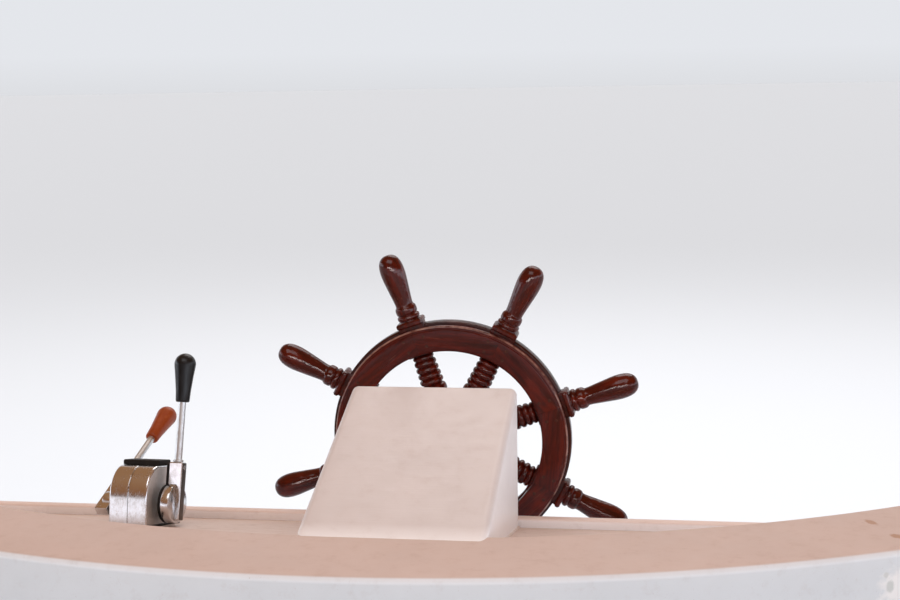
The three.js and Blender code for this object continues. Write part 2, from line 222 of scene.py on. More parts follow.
def bump(tree, strength, distance, height):
    inputs = {"Strength": strength, "Distance": distance, "Height": height}
    return add(tree, "ShaderNodeBump", inputs).outputs[0]


def finish(material, **inputs):
    named = {key.replace("_", " "): value for key, value in inputs.items()}
    shader = add(material.node_tree, "ShaderNodeBsdfPrincipled", named)
    add(material.node_tree, "ShaderNodeOutputMaterial", {"Surface": shader.outputs[0]})
    return material


def varnished_teak(name, dark, mid, pale, glow):
    """Red hardwood under brushed gloss varnish: quiet streaks, dark pores, orange where the coat is thin."""
    material, tree = new_material(name)
    grain = attribute(tree, "grain", "Vector")
    # growth figure 9 mm wide, drawn out to some 130 mm
    figure = noise(tree, grain, 9, 5, 0.6, (14, 1, 1))
    colour = ramp(tree, figure, [(0.30, dark), (0.52, mid), (0.74, pale)])
    # pores 0.9 mm wide and 14 mm long, wider than real ones so that they show
    pores = noise(tree, grain, 0.9, 2, 0.5, (16, 1, 1))
    colour = fleck(tree, colour, "#140605", pores, 0.58, 0.72, 0.6)
    # blotches of 40 mm where the varnish has thinned
    colour = fleck(tree, colour, glow, noise(tree, grain, 42, 3, 0.55, (2, 1, 1)), 0.56, 0.78, 0.7)
    # hairline scratches through the coat
    scratch = noise(tree, grain, 1.4, 1, 0.4, (40, 1, 1))
    colour = fleck(tree, colour, "#8d5a45", scratch, 0.70, 0.76, 0.35)
    # the rim's outer edge painted paler: partly wear from use, partly a painted highlight along the arris
    rubbed = spread(tree, noise(tree, grain, 22, 3, 0.6), 0.36, 0.66, 0.08, 0.70)
    worn = maths(tree, "MULTIPLY", attribute(tree, "worn"), rubbed)
    colour = blend(tree, worn, colour, linear("#b88f80"))
    colour = shaded(tree, colour, spread(tree, attribute(tree, "shade"), 0.0, 1.0, 0.80, 1.20))
    # brush runs 3 mm wide, over soft lumps of 12 mm
    runs = noise(tree, grain, 3, 2, 0.5, (10, 1, 1))
    lumps = noise(tree, grain, 12, 2, 0.5)
    film = maths(tree, "MULTIPLY_ADD", lumps, 2.2, runs)
    coat_rough = spread(tree, lumps, 0.3, 0.7, 0.05, 0.14)
    coat = {"Coat_Weight": 0.58, "Coat_Roughness": coat_rough, "Coat_IOR": 1.5}
    coat["Coat_Normal"] = bump(tree, 0.45, 0.0006, film)
    under = bump(tree, 0.25, 0.0004, figure)
    return finish(material, Base_Color=colour, Roughness=0.48, Specular_IOR_Level=0.02, Normal=under, **coat)


def brushed_enamel(name, flank, top, dirt, dirt_amount, roughness, marks=(), edge=None):
    """Marine enamel brushed on glass fibre: faint strokes, chalking, dust and stains.
    Its warm tops and cool flanks are painted light, from warm light above and cool light at the sides.

    With an edge colour, the rounded edge between flank and top is painted in it as a painted highlight.
    """
    material, tree = new_material(name)
    place = add(tree, "ShaderNodeTexCoord").outputs["Object"]
    tone = attribute(tree, "tone")
    # painted light: the colour runs from the flank's to the top's as a face turns up
    colour = blend(tree, tone, linear(flank), linear(top))
    if edge:
        # painted highlight: the near-white edge colour on the rounded edge
        colour = ramp(tree, tone, [(0.0, flank), (0.30, edge), (0.80, edge), (0.97, top)])
    # chalking in clouds of 150 mm
    clouds = spread(tree, noise(tree, place, 150, 6, 0.6), 0.3, 0.7, 0.965, 1.03)
    colour = shaded(tree, colour, clouds)
    # dust and stains in blotches of 25 mm
    blotch = noise(tree, place, 25, 8, 0.68)
    colour = fleck(tree, colour, dirt, blotch, 0.54, 0.86, dirt_amount)
    # specks of grit 1 mm across
    colour = fleck(tree, colour, dirt, noise(tree, place, 2.2, 2), 0.70, 0.78, dirt_amount * 1.6)
    rough = spread(tree, blotch, 0.3, 0.7, roughness - 0.06, roughness + 0.12)
    strokes = noise(tree, place, 2.5, 3, 0.5, (30, 1, 1))
    relief = maths(tree, "MULTIPLY_ADD", noise(tree, place, 40, 2), 4.0, strokes)
    for spot, angle, size, paint, ragged_mm in marks:
        # an oval of its own paint, with its rim broken up by noise
        laid = {"Vector": place, "Location": spot, "Rotation": (0, 0, angle), "Scale": size}
        oval = add(tree, "ShaderNodeMapping", laid, vector_type="TEXTURE").outputs[0]
        far = add(tree, "ShaderNodeVectorMath", {0: oval}, operation="LENGTH").outputs["Value"]
        reach = maths(tree, "MULTIPLY_ADD", noise(tree, place, ragged_mm, 4, 0.6), -1.4, far)
        colour = blend(tree, spread(tree, reach, -0.15, 0.30, 0.85, 0.0), colour, linear(paint))
    brushed = bump(tree, 0.2, 0.0007, relief)
    return finish(material, Base_Color=colour, Roughness=rough, Normal=brushed, Specular_IOR_Level=0.4)


def plated_metal(name, colour, tarnish, low, high, line_mm, stretch, relief):
    """Polished or plated metal: hairline polishing marks, with finger-dulled patches."""
    material, tree = new_material(name)
    place = add(tree, "ShaderNodeTexCoord").outputs["Object"]
    lines = noise(tree, place, line_mm, 4, 0.6, stretch)
    marks = noise(tree, place, 16, 5, 0.65)
    rough = spread(tree, maths(tree, "MULTIPLY", lines, marks), 0.12, 0.42, low, high)
    base = fleck(tree, linear(colour), tarnish, marks, 0.48, 0.80, 0.6)
    polish = bump(tree, relief, 0.0003, lines)
    return finish(material, Base_Color=base, Metallic=1.0, Roughness=rough, Normal=polish)


def moulded(name, colour, worn, roughness, skin_mm=1.4, coat=0.0, shine=0.5):
    """Moulded plastic or rubber: a fine skin, rubbed paler where hands and boots touch it."""
    material, tree = new_material(name)
    place = add(tree, "ShaderNodeTexCoord").outputs["Object"]
    rub = noise(tree, place, 18, 5, 0.6)
    base = fleck(tree, linear(colour), worn, rub, 0.48, 0.75)
    skin = bump(tree, 0.12, 0.0002, noise(tree, place, skin_mm, 2))
    rough = spread(tree, rub, 0.3, 0.7, roughness - 0.05, roughness + 0.1)
    gloss = {"Specular_IOR_Level": shine, "Coat_Weight": coat, "Coat_Roughness": 0.1}
    return finish(material, Base_Color=base, Roughness=rough, Normal=skin, **gloss)


# Marks at the coaming's port end: two brown scuffs on the top, a paler patch with two greyer spots on the
# front.
# Each is its place, its turn, half its length, width and depth, its colour and the size of its ragged rim.
SCUFF_AFT = ((0.741, -0.071, 0.910), math.radians(-60), (0.018, 0.0085, 0.005), "#b08462", 12)
SCUFF_FORE = ((0.771, -0.142, 0.910), math.radians(-58), (0.015, 0.0095, 0.005), "#b08462", 12)
PALE_PATCH = ((0.774, -0.208, 0.852), 0.0, (0.046, 0.070, 0.040), "#f6f5f3", 16)
GREY_SPOT_HIGH = ((0.746, -0.224, 0.874), 0.0, (0.005, 0.012, 0.006), "#d2d5d3", 14)
GREY_SPOT_LOW = ((0.753, -0.220, 0.857), 0.0, (0.007, 0.012, 0.011), "#cfd3d0", 14)
CAP_MARKS = (SCUFF_AFT, SCUFF_FORE, PALE_PATCH, GREY_SPOT_HIGH, GREY_SPOT_LOW)

wood = varnished_teak("varnished teak", "#340b04", "#4a1006", "#5f1709", "#7c2108")
wood_core = varnished_teak("varnished teak core", "#240a06", "#371009", "#4a180d", "#5c200f")
plug_wood = varnished_teak("end-grain plugs", "#3a170e", "#4a2015", "#5a2a1c", "#673521")
# Enamels are flank, top and dirt colours, a dirt amount and a roughness. Their warmer tops against cooler
# flanks are painted light from above and at the sides; the coaming's near-white edge colour is a painted
# highlight on its rounded edge.
cap_colours = ("#dadfe2", "#cfbab0", "#8f6a52")
cap_enamel = brushed_enamel("coaming enamel", *cap_colours, 0.20, 0.5, CAP_MARKS, "#eff5f9")
# Painted light: the inner faces' flank is whiter than the coaming's outer flank, for the light they catch
# from aft
inner_enamel = brushed_enamel("inner face enamel", "#f3f5fa", "#b99c8f", "#8f6a52", 0.12, 0.45)
dash_enamel = brushed_enamel("dash enamel", "#d8c8be", "#d4c0b5", "#7f5b44", 0.40, 0.48)
# Painted light: the lip's flank is near-white to lift its bow-facing face, which lies in shade under the
# coaming
lip_enamel = brushed_enamel("lip enamel", "#f8f4f2", "#e6d0c6", "#7f5b44", 0.20, 0.45)
cowl_enamel = brushed_enamel("cowl enamel", "#f5f4f5", "#d9d2d0", "#a98c7c", 0.14, 0.36)
panel_enamel = brushed_enamel("panel enamel", "#d2d6dc", "#cfd0d2", "#8c8378", 0.22, 0.4)
plinth_enamel = brushed_enamel("plinth enamel", "#4b4d50", "#505255", "#2d2b28", 0.5, 0.6)
chrome = plated_metal("polished chrome", "#d6d7d9", "#b3aeaa", 0.12, 0.32, 2.2, (1, 1, 26), 0.12)
satin_steel = plated_metal("satin stainless steel", "#d6dadc", "#bcbab6", 0.36, 0.52, 1.2, (1, 1, 30), 0.04)
cast_steel = plated_metal("dull cast steel", "#e2e0de", "#c9c5c0", 0.55, 0.75, 1.2, (1, 1, 30), 0.04)
raw_steel = plated_metal("unpolished steel", "#6e6762", "#514b46", 0.34, 0.5, 1.2, (1, 1, 30), 0.04)
stainless = plated_metal("brushed stainless steel", "#b9bcc0", "#8e8c88", 0.18, 0.36, 0.7, (1, 40, 1), 0.15)
brass = plated_metal("rubbed brass", "#b8904c", "#7d5a2c", 0.14, 0.40, 0.8, (20, 20, 1), 0.1)
rubber = moulded("black rubber", "#16110e", "#28211b", 0.62, shine=0.25)
black_knob = moulded("black phenolic", "#0a0a0c", "#151417", 0.34, 2.0, 0.1, 0.3)
brown_knob = moulded("brown phenolic", "#963f12", "#a85226", 0.40, 2.0, 0.08, 0.3)
filler = moulded("painted filler", "#ddd0ca", "#cdbdb4", 0.6)


# Mesh helpers
def store(mesh, name, values):
    values = np.asarray(values, dtype=np.float32)
    is_vector = values.ndim == 2
    attribute = mesh.attributes.new(name, "FLOAT_VECTOR" if is_vector else "FLOAT", "POINT")
    attribute.data.foreach_set("vector" if is_vector else "value", values.ravel())


def read(items, key, width):
    """The values of one key of all items as rows of numbers."""
    values = np.empty(len(items) * width, dtype=np.float32)
    items.foreach_get(key, values)
    return values.reshape(-1, width)


def put_in_scene(name, data):
    made = bpy.data.objects.new(name, data)
    bpy.context.scene.collection.objects.link(made)
    return made


def piece(name, shape, material, transform=None, grain=None, shade=0.5, tone=None, sharp=SHARP):
    """A closed mesh as an object at the origin, smooth but for edges sharper than the given angle."""
    points, faces = shape
    mesh = bpy.data.meshes.new(name)
    mesh.from_pydata([tuple(p) for p in points], [], [tuple(f) for f in faces])
    if grain is not None:
        store(mesh, "grain", grain)
        store(mesh, "shade", shade if np.ndim(shade) else np.full(len(points), float(shade)))
    if transform is not None:
        mesh.transform(transform)
    work = bmesh.new()
    work.from_mesh(mesh)
    bmesh.ops.recalc_face_normals(work, faces=work.faces)
    work.to_mesh(mesh)
    work.free()
    mesh.update()
    # Painted light: how far each point's normal turns up sets its share of the enamel's warm top colour
    if tone is not None:
        low, high = tone
        store(mesh, "tone", np.clip((read(mesh.vertices, "normal", 3)[:, 2] - low) / (high - low), 0, 1))
    mesh.shade_smooth()
    mesh.set_sharp_from_angle(angle=math.radians(sharp))
    mesh.materials.append(material)
    return put_in_scene(name, mesh)


def loft(loops):
    """Quads between rows of closed loops, and one face over each end."""
    rows, columns = len(loops), len(loops[0])
    faces = []
    for a in range(0, (rows - 1) * columns, columns):
        for j in range(columns):
            k = (j + 1) % columns
            faces.append((a + j, a + k, a + columns + k, a + columns + j))
    faces.append(tuple(range(columns))[::-1])
    faces.append(tuple(range((rows - 1) * columns, rows * columns)))
    return [p for loop in loops for p in loop], faces


def lying(plan, z):
    return [(x, y, z) for x, y in plan]


def standing(outline, x):
    return [(x, y, z) for y, z in outline]


def even(start, end, steps):
    """Values spaced evenly from start to end, both of them included."""
    return [start + (end - start) * i / steps for i in range(steps + 1)]


def quarter(steps):
    """Cosines and sines along a quarter turn."""
    return [(math.cos(a), math.sin(a)) for a in even(0.0, math.pi / 2, steps)]


def edge_levels(low, high, ease):
    """Levels of a block with eased edges, as (place, shrink)."""
    return [(low, ease), (low + ease, 0.0), (high - ease, 0.0), (high, ease)]


def turned(profile, steps, closed=False):
    """A turning about Z. The profile is (radius, height); radius 0 at an end is a pole."""
    points, faces, rings = [], [], []
    for radius, height in profile:
        count = 1 if radius <= 1e-7 else steps
        rings.append(list(range(len(points), len(points) + count)))
        for i in range(count):
            a = 2 * math.pi * i / steps
            points.append((radius * math.cos(a), radius * math.sin(a), height))
    pairs = list(zip(rings, rings[1:]))
    if closed:
        pairs.append((rings[-1], rings[0]))
    for low, high in pairs:
        if len(low) == len(high) == 1:
            continue
        for i in range(steps):
            j = (i + 1) % steps
            face = [low[i % len(low)], low[j % len(low)], high[j % len(high)], high[i % len(high)]]
            faces.append(tuple(dict.fromkeys(face)))
    return points, faces


def flowing(points, steps):
    """A Catmull-Rom curve through (radius, height) points, so that a turning has no flats."""
    out = []
    last = len(points) - 1
    for i in range(last):
        p0, p1, p2, p3 = (np.array(points[min(max(i + k, 0), last)]) for k in (-1, 0, 1, 2))
        for t in even(0.0, 1.0, steps)[:-1]:
            bend = (2 * p0 - 5 * p1 + 4 * p2 - p3) * t * t + (3 * p1 - p0 - 3 * p2 + p3) * t**3
            radius, height = (2 * p1 + (p2 - p0) * t + bend) / 2
            out.append((max(radius, 0.0), height))
    out.append(points[-1])
    return out


def rounded_loop(x0, x1, z0, z1, radii, shrink, steps):
    """A rectangle with a radius at each corner, from x0z0 round to x0z1. Shrink pulls all sides in."""
    x0, x1, z0, z1 = x0 + shrink, x1 - shrink, z0 + shrink, z1 - shrink
    corners = [(x0, z0, 1, 1, 180), (x1, z0, -1, 1, 270), (x1, z1, -1, -1, 0), (x0, z1, 1, -1, 90)]
    out = []
    for (cx, cz, sx, sz, start), radius in zip(corners, radii):
        r = max(radius - shrink, 0.0002)
        for degrees in even(start, start + 90, steps):
            a = math.radians(degrees)
            out.append((cx + sx * r + r * math.cos(a), cz + sz * r + r * math.sin(a)))
    return out


def eased(loop_at, start, end, radius):
    """Rows of a bar along one axis with rounded ends: loop_at(place, shrink) gives each loop."""
    ends = [(radius * (1 - c), radius * (1 - s)) for c, s in quarter(4)]
    rows = [loop_at(start + along, shrink) for along, shrink in ends]
    return rows + [loop_at(end - along, shrink) for along, shrink in reversed(ends)]


def merged(parts):
    """Joins (points, faces, grain, shade) parts into one shape with its grain and shades."""
    points, faces, grain, shade = [], [], [], []
    for part_points, part_faces, part_grain, part_shade in parts:
        base = len(points)
        points.extend(part_points)
        faces.extend(tuple(base + i for i in f) for f in part_faces)
        grain.extend(part_grain)
        shade.extend([part_shade] * len(part_points))
    return (points, faces), grain, np.array(shade)


def fit(obj, body, slot, *nodes):
    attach(obj, body)
    if nodes:
        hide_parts(*nodes)
    return obj


# What repeats, by Geometry Nodes
SOCKETS = {int: "Int", float: "Float", bpy.types.Material: "Material", bpy.types.Object: "Object"}


def spread_copies(holder, name, inputs, build):
    """Runs a tree that build() fills on the holder's mesh, and gives back a plain mesh object."""
    tree = bpy.data.node_groups.new(name, "GeometryNodeTree")
    tree.interface.new_socket("Geometry", in_out="INPUT", socket_type="NodeSocketGeometry")
    values = {}
    for label, value in inputs.items():
        kind = "NodeSocket" + SOCKETS[type(value)]
        socket = tree.interface.new_socket(label, in_out="INPUT", socket_type=kind)
        values[socket.identifier] = value
    tree.interface.new_socket("Geometry", in_out="OUTPUT", socket_type="NodeSocketGeometry")
    given = add(tree, "NodeGroupInput").outputs
    copies = build(tree, given)
    real = add(tree, "GeometryNodeRealizeInstances", {"Geometry": copies}).outputs[0]
    dressed = add(tree, "GeometryNodeSetMaterial", {"Geometry": real, "Material": given["Finish"]})
    add(tree, "NodeGroupOutput", {0: dressed.outputs[0]})
    modifier = holder.modifiers.new("copies", "NODES")
    modifier.node_group = tree
    for identifier, value in values.items():
        modifier[identifier] = value
    ready = holder.evaluated_get(bpy.context.evaluated_depsgraph_get())
    mesh = bpy.data.meshes.new_from_object(ready)
    mesh.name = name
    bpy.data.objects.remove(holder)
    return put_in_scene(name, mesh)


def random_value(tree, index, given, low, high):
    limits = {"Min": low, "Max": high, "ID": index, "Seed": given["Seed"]}
    draw = add(tree, "FunctionNodeRandomValue", limits, data_type="FLOAT")
    return [o for o in draw.outputs if o.type == "VALUE" and o.enabled][0]


def set_round(pattern, name, material, transform):
    """Copies of a pattern that stands along +Z, set round the wheel's axis, each in its own shade."""

    def build(tree, given):
        marks = add(tree, "GeometryNodePoints", {"Count": given["Count"]}).outputs[0]
        index = add(tree, "GeometryNodeInputIndex").outputs[0]
        angle = maths(tree, "MULTIPLY_ADD", index, given["Step"], given["First angle"])
        turn = maths(tree, "MULTIPLY", angle, -1.0)
        aim = add(tree, "ShaderNodeCombineXYZ", {"X": -math.pi / 2, "Z": turn}).outputs[0]
        set_out = {"Points": marks, "Instance": given["Geometry"], "Rotation": aim}
        copies = add(tree, "GeometryNodeInstanceOnPoints", set_out).outputs[0]
        value = random_value(tree, index, given, 0.15, 0.85)
        held = {"Geometry": copies, "Name": "copy_shade", "Value": value}
        kind = {"data_type": "FLOAT", "domain": "INSTANCE"}
        return add(tree, "GeometryNodeStoreNamedAttribute", held, **kind).outputs[0]

    inputs = {"Count": SPOKES, "First angle": FIRST_SPOKE, "Step": SPOKE_STEP, "Seed": 7, "Finish": material}
    made = spread_copies(pattern, name, inputs, build)
    mesh = made.data
    shades = read(mesh.attributes["copy_shade"].data, "value", 1)
    mesh.attributes["shade"].data.foreach_set("value", shades.ravel())
    shifted = read(mesh.attributes["grain"].data, "vector", 3) + shades * np.array([[11.0, 7.0, 5.0]])
    mesh.attributes["grain"].data.foreach_set("vector", shifted.ravel().astype(np.float32))
    mesh.attributes.remove(mesh.attributes["copy_shade"])
    mesh.transform(transform)
    return made


def fasten(name, places, head, material, seed=3):
    """Copies of a head that points along +Z, set on (place, outward direction) pairs and spun at random."""
    mesh = bpy.data.meshes.new(name)
    mesh.from_pydata([tuple(p) for p, _ in places], [], [])
    store(mesh, "aim", [tuple(Vector(a).normalized()) for _, a in places])
    holder = put_in_scene(name + "_places", mesh)

    def build(tree, given):
        marks = add(tree, "GeometryNodeMeshToPoints", {"Mesh": given["Geometry"]}).outputs[0]
        named = add(tree, "GeometryNodeInputNamedAttribute", {"Name": "aim"}, data_type="FLOAT_VECTOR")
        aim = {"Vector": named.outputs["Attribute"]}
        facing = add(tree, "FunctionNodeAlignRotationToVector", aim, axis="Z").outputs[0]
        index = add(tree, "GeometryNodeInputIndex").outputs[0]
        angle = random_value(tree, index, given, 0.0, given["Spin"])
        spin = add(tree, "FunctionNodeAxisAngleToRotation", {"Axis": (0, 0, 1), "Angle": angle}).outputs[0]
        joined = {"Rotation": facing, "Rotate By": spin}
        whole = add(tree, "FunctionNodeRotateRotation", joined, rotation_space="LOCAL").outputs[0]
        source = add(tree, "GeometryNodeObjectInfo", {"Object": given["Head"]}).outputs["Geometry"]
        set_out = {"Points": marks, "Instance": source, "Rotation": whole}
        return add(tree, "GeometryNodeInstanceOnPoints", set_out).outputs[0]

    inputs = {"Head": head, "Spin": 2 * math.pi, "Seed": seed, "Finish": material}
    return spread_copies(holder, name, inputs, build)


def cut_from(obj, tools):
    """Takes the tool objects away from a piece."""
    for tool in tools:
        modifier = obj.modifiers.new("cut", "BOOLEAN")
        modifier.operation = "DIFFERENCE"
        modifier.solver = "EXACT"
        modifier.object = tool
    ready = obj.evaluated_get(bpy.context.evaluated_depsgraph_get())
    mesh = bpy.data.meshes.new_from_object(ready)
    name = obj.name
    for used in [obj] + tools:
        bpy.data.objects.remove(used)
    mesh.name = name
    mesh.shade_smooth()
    mesh.set_sharp_from_angle(angle=math.radians(SHARP))
    return put_in_scene(name, mesh)


def slotted_head(name, radius, height, slot, material):
    """A round screw head with a cross recess."""
    rise = [(radius * math.cos(a), height * (0.35 + 0.65 * math.sin(a))) for a in (0, 0.45, 0.9, 1.25)]
    shape = turned([(0, -0.0004), (radius, -0.0004), *rise, (0, height)], 20)
    head = piece(name, shape, material)
    tools = []
    arm = 0.62 * radius
    for along, across in ((arm, slot), (slot, arm)):
        plan = [(-along, -across), (along, -across), (along, across), (-along, across)]
        recess = loft([lying(plan, height * 0.45), lying(plan, height * 2)])
        tools.append(piece(name + "_recess", recess, material))
    return cut_from(head, tools)


# Coaming, skins and foot, carried round the console's plan
def outline_stations(end_round=0.0, aft=AFT_Y, leg=4):
    """Stations from the starboard aft end to the port one: (centre, direction, radius, shrink)."""
    fx = HALF_WIDTH - CORNER_RADIUS
    fy = ARC_CENTRE_Y - math.sqrt((FRONT_RADIUS - CORNER_RADIUS) ** 2 - fx**2)
    end = math.atan2(fx, ARC_CENTRE_Y - fy)
    arc, fillet = 96, 28
    half = []
    for a in even(0.0, end, arc):
        half.append(((0, ARC_CENTRE_Y), (math.sin(a), -math.cos(a)), FRONT_RADIUS, 0.0))
    for a in even(end, math.pi / 2, fillet)[1:]:
        half.append(((fx, fy), (math.sin(a), -math.cos(a)), CORNER_RADIUS, 0.0))
    for y in even(fy, aft - end_round, leg)[1:]:
        half.append(((0, y), (1.0, 0.0), HALF_WIDTH, 0.0))
    for c, s in quarter(6)[1:] if end_round else ():
        y = aft - end_round + end_round * s
        half.append(((0, y), (1.0, 0.0), HALF_WIDTH, end_round * (1 - c)))
    starboard = [((-c[0], c[1]), (-d[0], d[1]), r, s) for c, d, r, s in half[:0:-1]]
    return starboard + half


def round_the_plan(x0, x1, z0, z1, eases, steps, end_round=0.0):
    """Carries an upright rectangle round the plan, from inset x0 to x1 and from height z0 to z1."""
    loops = []
    for (cx, cy), (dx, dy), radius, shrink in outline_stations(end_round):
        section = rounded_loop(x0, x1, z0, z1, eases, shrink, steps)
        loops.append([(cx + dx * (radius - x), cy + dy * (radius - x), z) for x, z in section])
    return loft(loops)


def plan_plate(inset, aft, levels):
    """A plate with the plan's outline. Levels are (height, shrink), and a height may depend on y."""
    loops = []
    for height, shrink in levels:
        loop = []
        for (cx, cy), (dx, dy), radius, _ in outline_stations(aft=aft, leg=1):
            x = cx + dx * (radius - inset - shrink)
            y = min(cy + dy * (radius - inset - shrink), aft - shrink)
            loop.append((x, y, height(y) if callable(height) else height))
        loops.append(loop)
    return loft(loops)


def console_piece(node, slot, name, shape, enamel, tone=(0.3, 0.9), sharp=SHARP):
    """A painted piece in the console's own frame, in place of its node."""
    return fit(piece(name, shape, enamel, BODY_FRAME, tone=tone, sharp=sharp), "console", slot, node)


cap_shape = round_the_plan(0, CAP_WIDTH, CAP_BOTTOM, CAP_TOP, (0.003, 0.003, 0.004, 0.011), 7, 0.008)
cap = console_piece("coaming_cap", "coaming_paint", "coaming_cap_moulding", cap_shape, cap_enamel, (0.0, 1.0))
cap.data.materials.append(inner_enamel)
for face in cap.data.polygons:
    if face.normal.y > 0.3 and face.normal.z < 0.6:
        face.material_index = 1

skin_low, skin_high = FLOOR_TOP + GAP, CAP_BOTTOM - GAP
skin_shape = round_the_plan(SKIN_INSET, SKIN_INSET + WALL, skin_low, skin_high, (0.002,) * 4, 2)
console_piece("front_shell", "panel_paint", "front_skin", skin_shape, panel_enamel)

liner_inset = CAP_WIDTH - LINER_THICK
liner_shape = round_the_plan(liner_inset, CAP_WIDTH, LIP_BOTTOM + GAP, skin_high, (0.001,) * 4, 1)
console_piece("coaming_liner", "coaming_paint", "inner_upstand", liner_shape, inner_enamel, (0.90, 0.985))

edge = 0.003
floor_levels = edge_levels(PLINTH_HEIGHT, FLOOR_TOP, edge)
floor_levels[0] = (PLINTH_HEIGHT + GAP, edge)
floor_shape = plan_plate(SKIN_INSET, AFT_Y, floor_levels)
console_piece("floor_board", "panel_paint", "floor_edge_board", floor_shape, panel_enamel, sharp=50)

plinth_shape = plan_plate(PLINTH_INSET, AFT_Y - PLINTH_INSET, edge_levels(0.0, PLINTH_HEIGHT, edge))
console_piece("plinth", "plinth_paint", "foot_plinth", plinth_shape, plinth_enamel)

dash_levels = [
    (lambda y: dash_height(y) - DASH_THICK, 0.001),
    (lambda y: dash_height(y) - DASH_THICK + 0.001, 0.0),
    (lambda y: dash_height(y) - 0.001, 0.0),
    (dash_height, 0.001),
]
dash_shape = plan_plate(CAP_WIDTH + GAP, DASH_AFT_Y - GAP, dash_levels)
console_piece("dash_board", "coaming_paint", "dash_tray", dash_shape, dash_enamel)

lip_half = HALF_WIDTH - CAP_WIDTH - GAP
lip_eases = (0.001, 0.001, 0.012, 0.005)
lip_section = rounded_loop(DASH_AFT_Y, AFT_Y, LIP_BOTTOM + GAP, LIP_TOP, lip_eases, 0, 6)
lip_rows = [standing(lip_section, x) for x in even(-lip_half, lip_half, 60)]
lip = console_piece("dash_lip", "coaming_paint", "dash_lip_rail", loft(lip_rows), lip_enamel, (0.2, 0.95))


def slab(corners, y0, y1, ease):
    """An upright board between y0 and y1 with eased edges; its corners (x, z) run round its face."""
    count = len(corners)
    inward = []
    for i in range(count):
        back, here, ahead = (Vector(corners[(i + k) % count]) for k in (-1, 0, 1))
        first, second = (here - back).normalized(), (ahead - here).normalized()
        turn = Vector((-first.y - second.y, first.x + second.x))
        inward.append(turn * (1 / max(1e-6, 1 + first.dot(second))))
    loops = []
    for y, shrink in edge_levels(y0, y1, ease):
        loops.append([(x + n.x * shrink, y, z + n.y * shrink) for (x, z), n in zip(corners, inward)])
    return loft(loops)


panel_side = HALF_WIDTH - SKIN_INSET - WALL - GAP
ear = HALF_WIDTH - liner_inset + GAP
port_edge = [(panel_side, skin_low), (panel_side, skin_high), (ear, skin_high), (ear, LIP_BOTTOM)]
panel_corners = port_edge + [(-x, z) for x, z in reversed(port_edge)]
panel_shape = slab(panel_corners, AFT_Y - WALL, AFT_Y, 0.002)
console_piece("aft_panel", "panel_paint", "aft_board", panel_shape, panel_enamel, sharp=20)

COVER_HALF, COVER_LOW, COVER_HIGH, COVER_THICK = 0.270, 0.220, 0.670, 0.010
cover_outline = rounded_loop(-COVER_HALF, COVER_HALF, COVER_LOW, COVER_HIGH, (0.012,) * 4, 0, 6)
cover_face = AFT_Y + GAP + COVER_THICK
cover_shape = slab(cover_outline, AFT_Y + GAP, cover_face, 0.003)
console_piece("access_cover", "panel_paint", "hatch_cover", cover_shape, panel_enamel)


# Steering cowl
def cap_inner_edge(x):
    """Where the coaming's inner edge lies at x, on the curved front."""
    return ARC_CENTRE_Y - math.sqrt((FRONT_RADIUS - CAP_WIDTH) ** 2 - (x - BODY_MIDDLE_X) ** 2)


def cowl_side(inset, under):
    """Side outline of the wedge pulled in by inset: aft foot, ridge, long slope, front foot, underside."""
    tilt = math.atan(COWL_SLOPE)
    r = max(COWL_ROUND - inset, 0.0003)
    centre_y, centre_z = DASH_AFT_Y - inset - r, COWL_RIDGE_Z - inset - r
    foot_z = CAP_TOP + 0.0001
    slope_top = COWL_RIDGE_Z + 0.0013 - inset / math.cos(tilt)
    out = [(DASH_AFT_Y - inset, dash_height(DASH_AFT_Y) + COWL_CLEAR)]
    for a in even(0.0, math.pi / 2 + tilt, 8):
        out.append((centre_y + r * math.cos(a), centre_z + r * math.sin(a)))
    foot_y = COWL_RIDGE_Y - (slope_top - foot_z) / COWL_SLOPE
    start_y, start_z = out.pop()
    out += zip(even(start_y, foot_y, 12), even(start_z, foot_z, 12))
    under_y = max(foot_y + 0.0004, under)
    return out + [(under_y, foot_z), (under_y, dash_height(under_y) + COWL_CLEAR)]


half = COWL_WIDTH / 2
flank = [(-half + COWL_ROUND * (1 - c), COWL_ROUND * (1 - s)) for c, s in quarter(8)]
flat = half - COWL_ROUND
middle = [(x, 0.0) for x in even(-flat, flat, 12)[1:-1]]
cowl_loops = []
for offset, inset in flank + middle + [(-x, inset) for x, inset in reversed(flank)]:
    x = COWL_MIDDLE_X + offset
    cowl_loops.append(standing(cowl_side(inset, cap_inner_edge(x) + 0.0008), x))
# Painted light: the cowl's upward faces take its warmer top colour, its sides the cooler flank colour
cowl = piece("cowl_cover", loft(cowl_loops), cowl_enamel, tone=(0.05, 0.5))
fit(cowl, "console", "cowl_paint", "steering_cowl")

# bead of filler where the cowl's sides meet the dash
BEAD_RADIUS = 0.0028
bead_parts = []
wander = random.Random(11)
ring = [(math.cos(k * math.pi / 4), math.sin(k * math.pi / 4)) for k in range(8)]
for side in (-1, 1):
    x = COWL_MIDDLE_X + side * half
    loops = []
    for y in even(cap_inner_edge(x) + BEAD_RADIUS, DASH_AFT_Y - 0.003, 24):
        r = BEAD_RADIUS * wander.uniform(0.85, 1.15)
        loops.append([(x + r * across, y, dash_height(y) + GAP + r * up) for across, up in ring])
    points, faces = loft(loops)
    bead_parts.append((points, faces, points, 0.5))
bead_shape, _, _ = merged(bead_parts)
fit(piece("cowl_foot_bead", bead_shape, filler), "console", "cowl_paint")

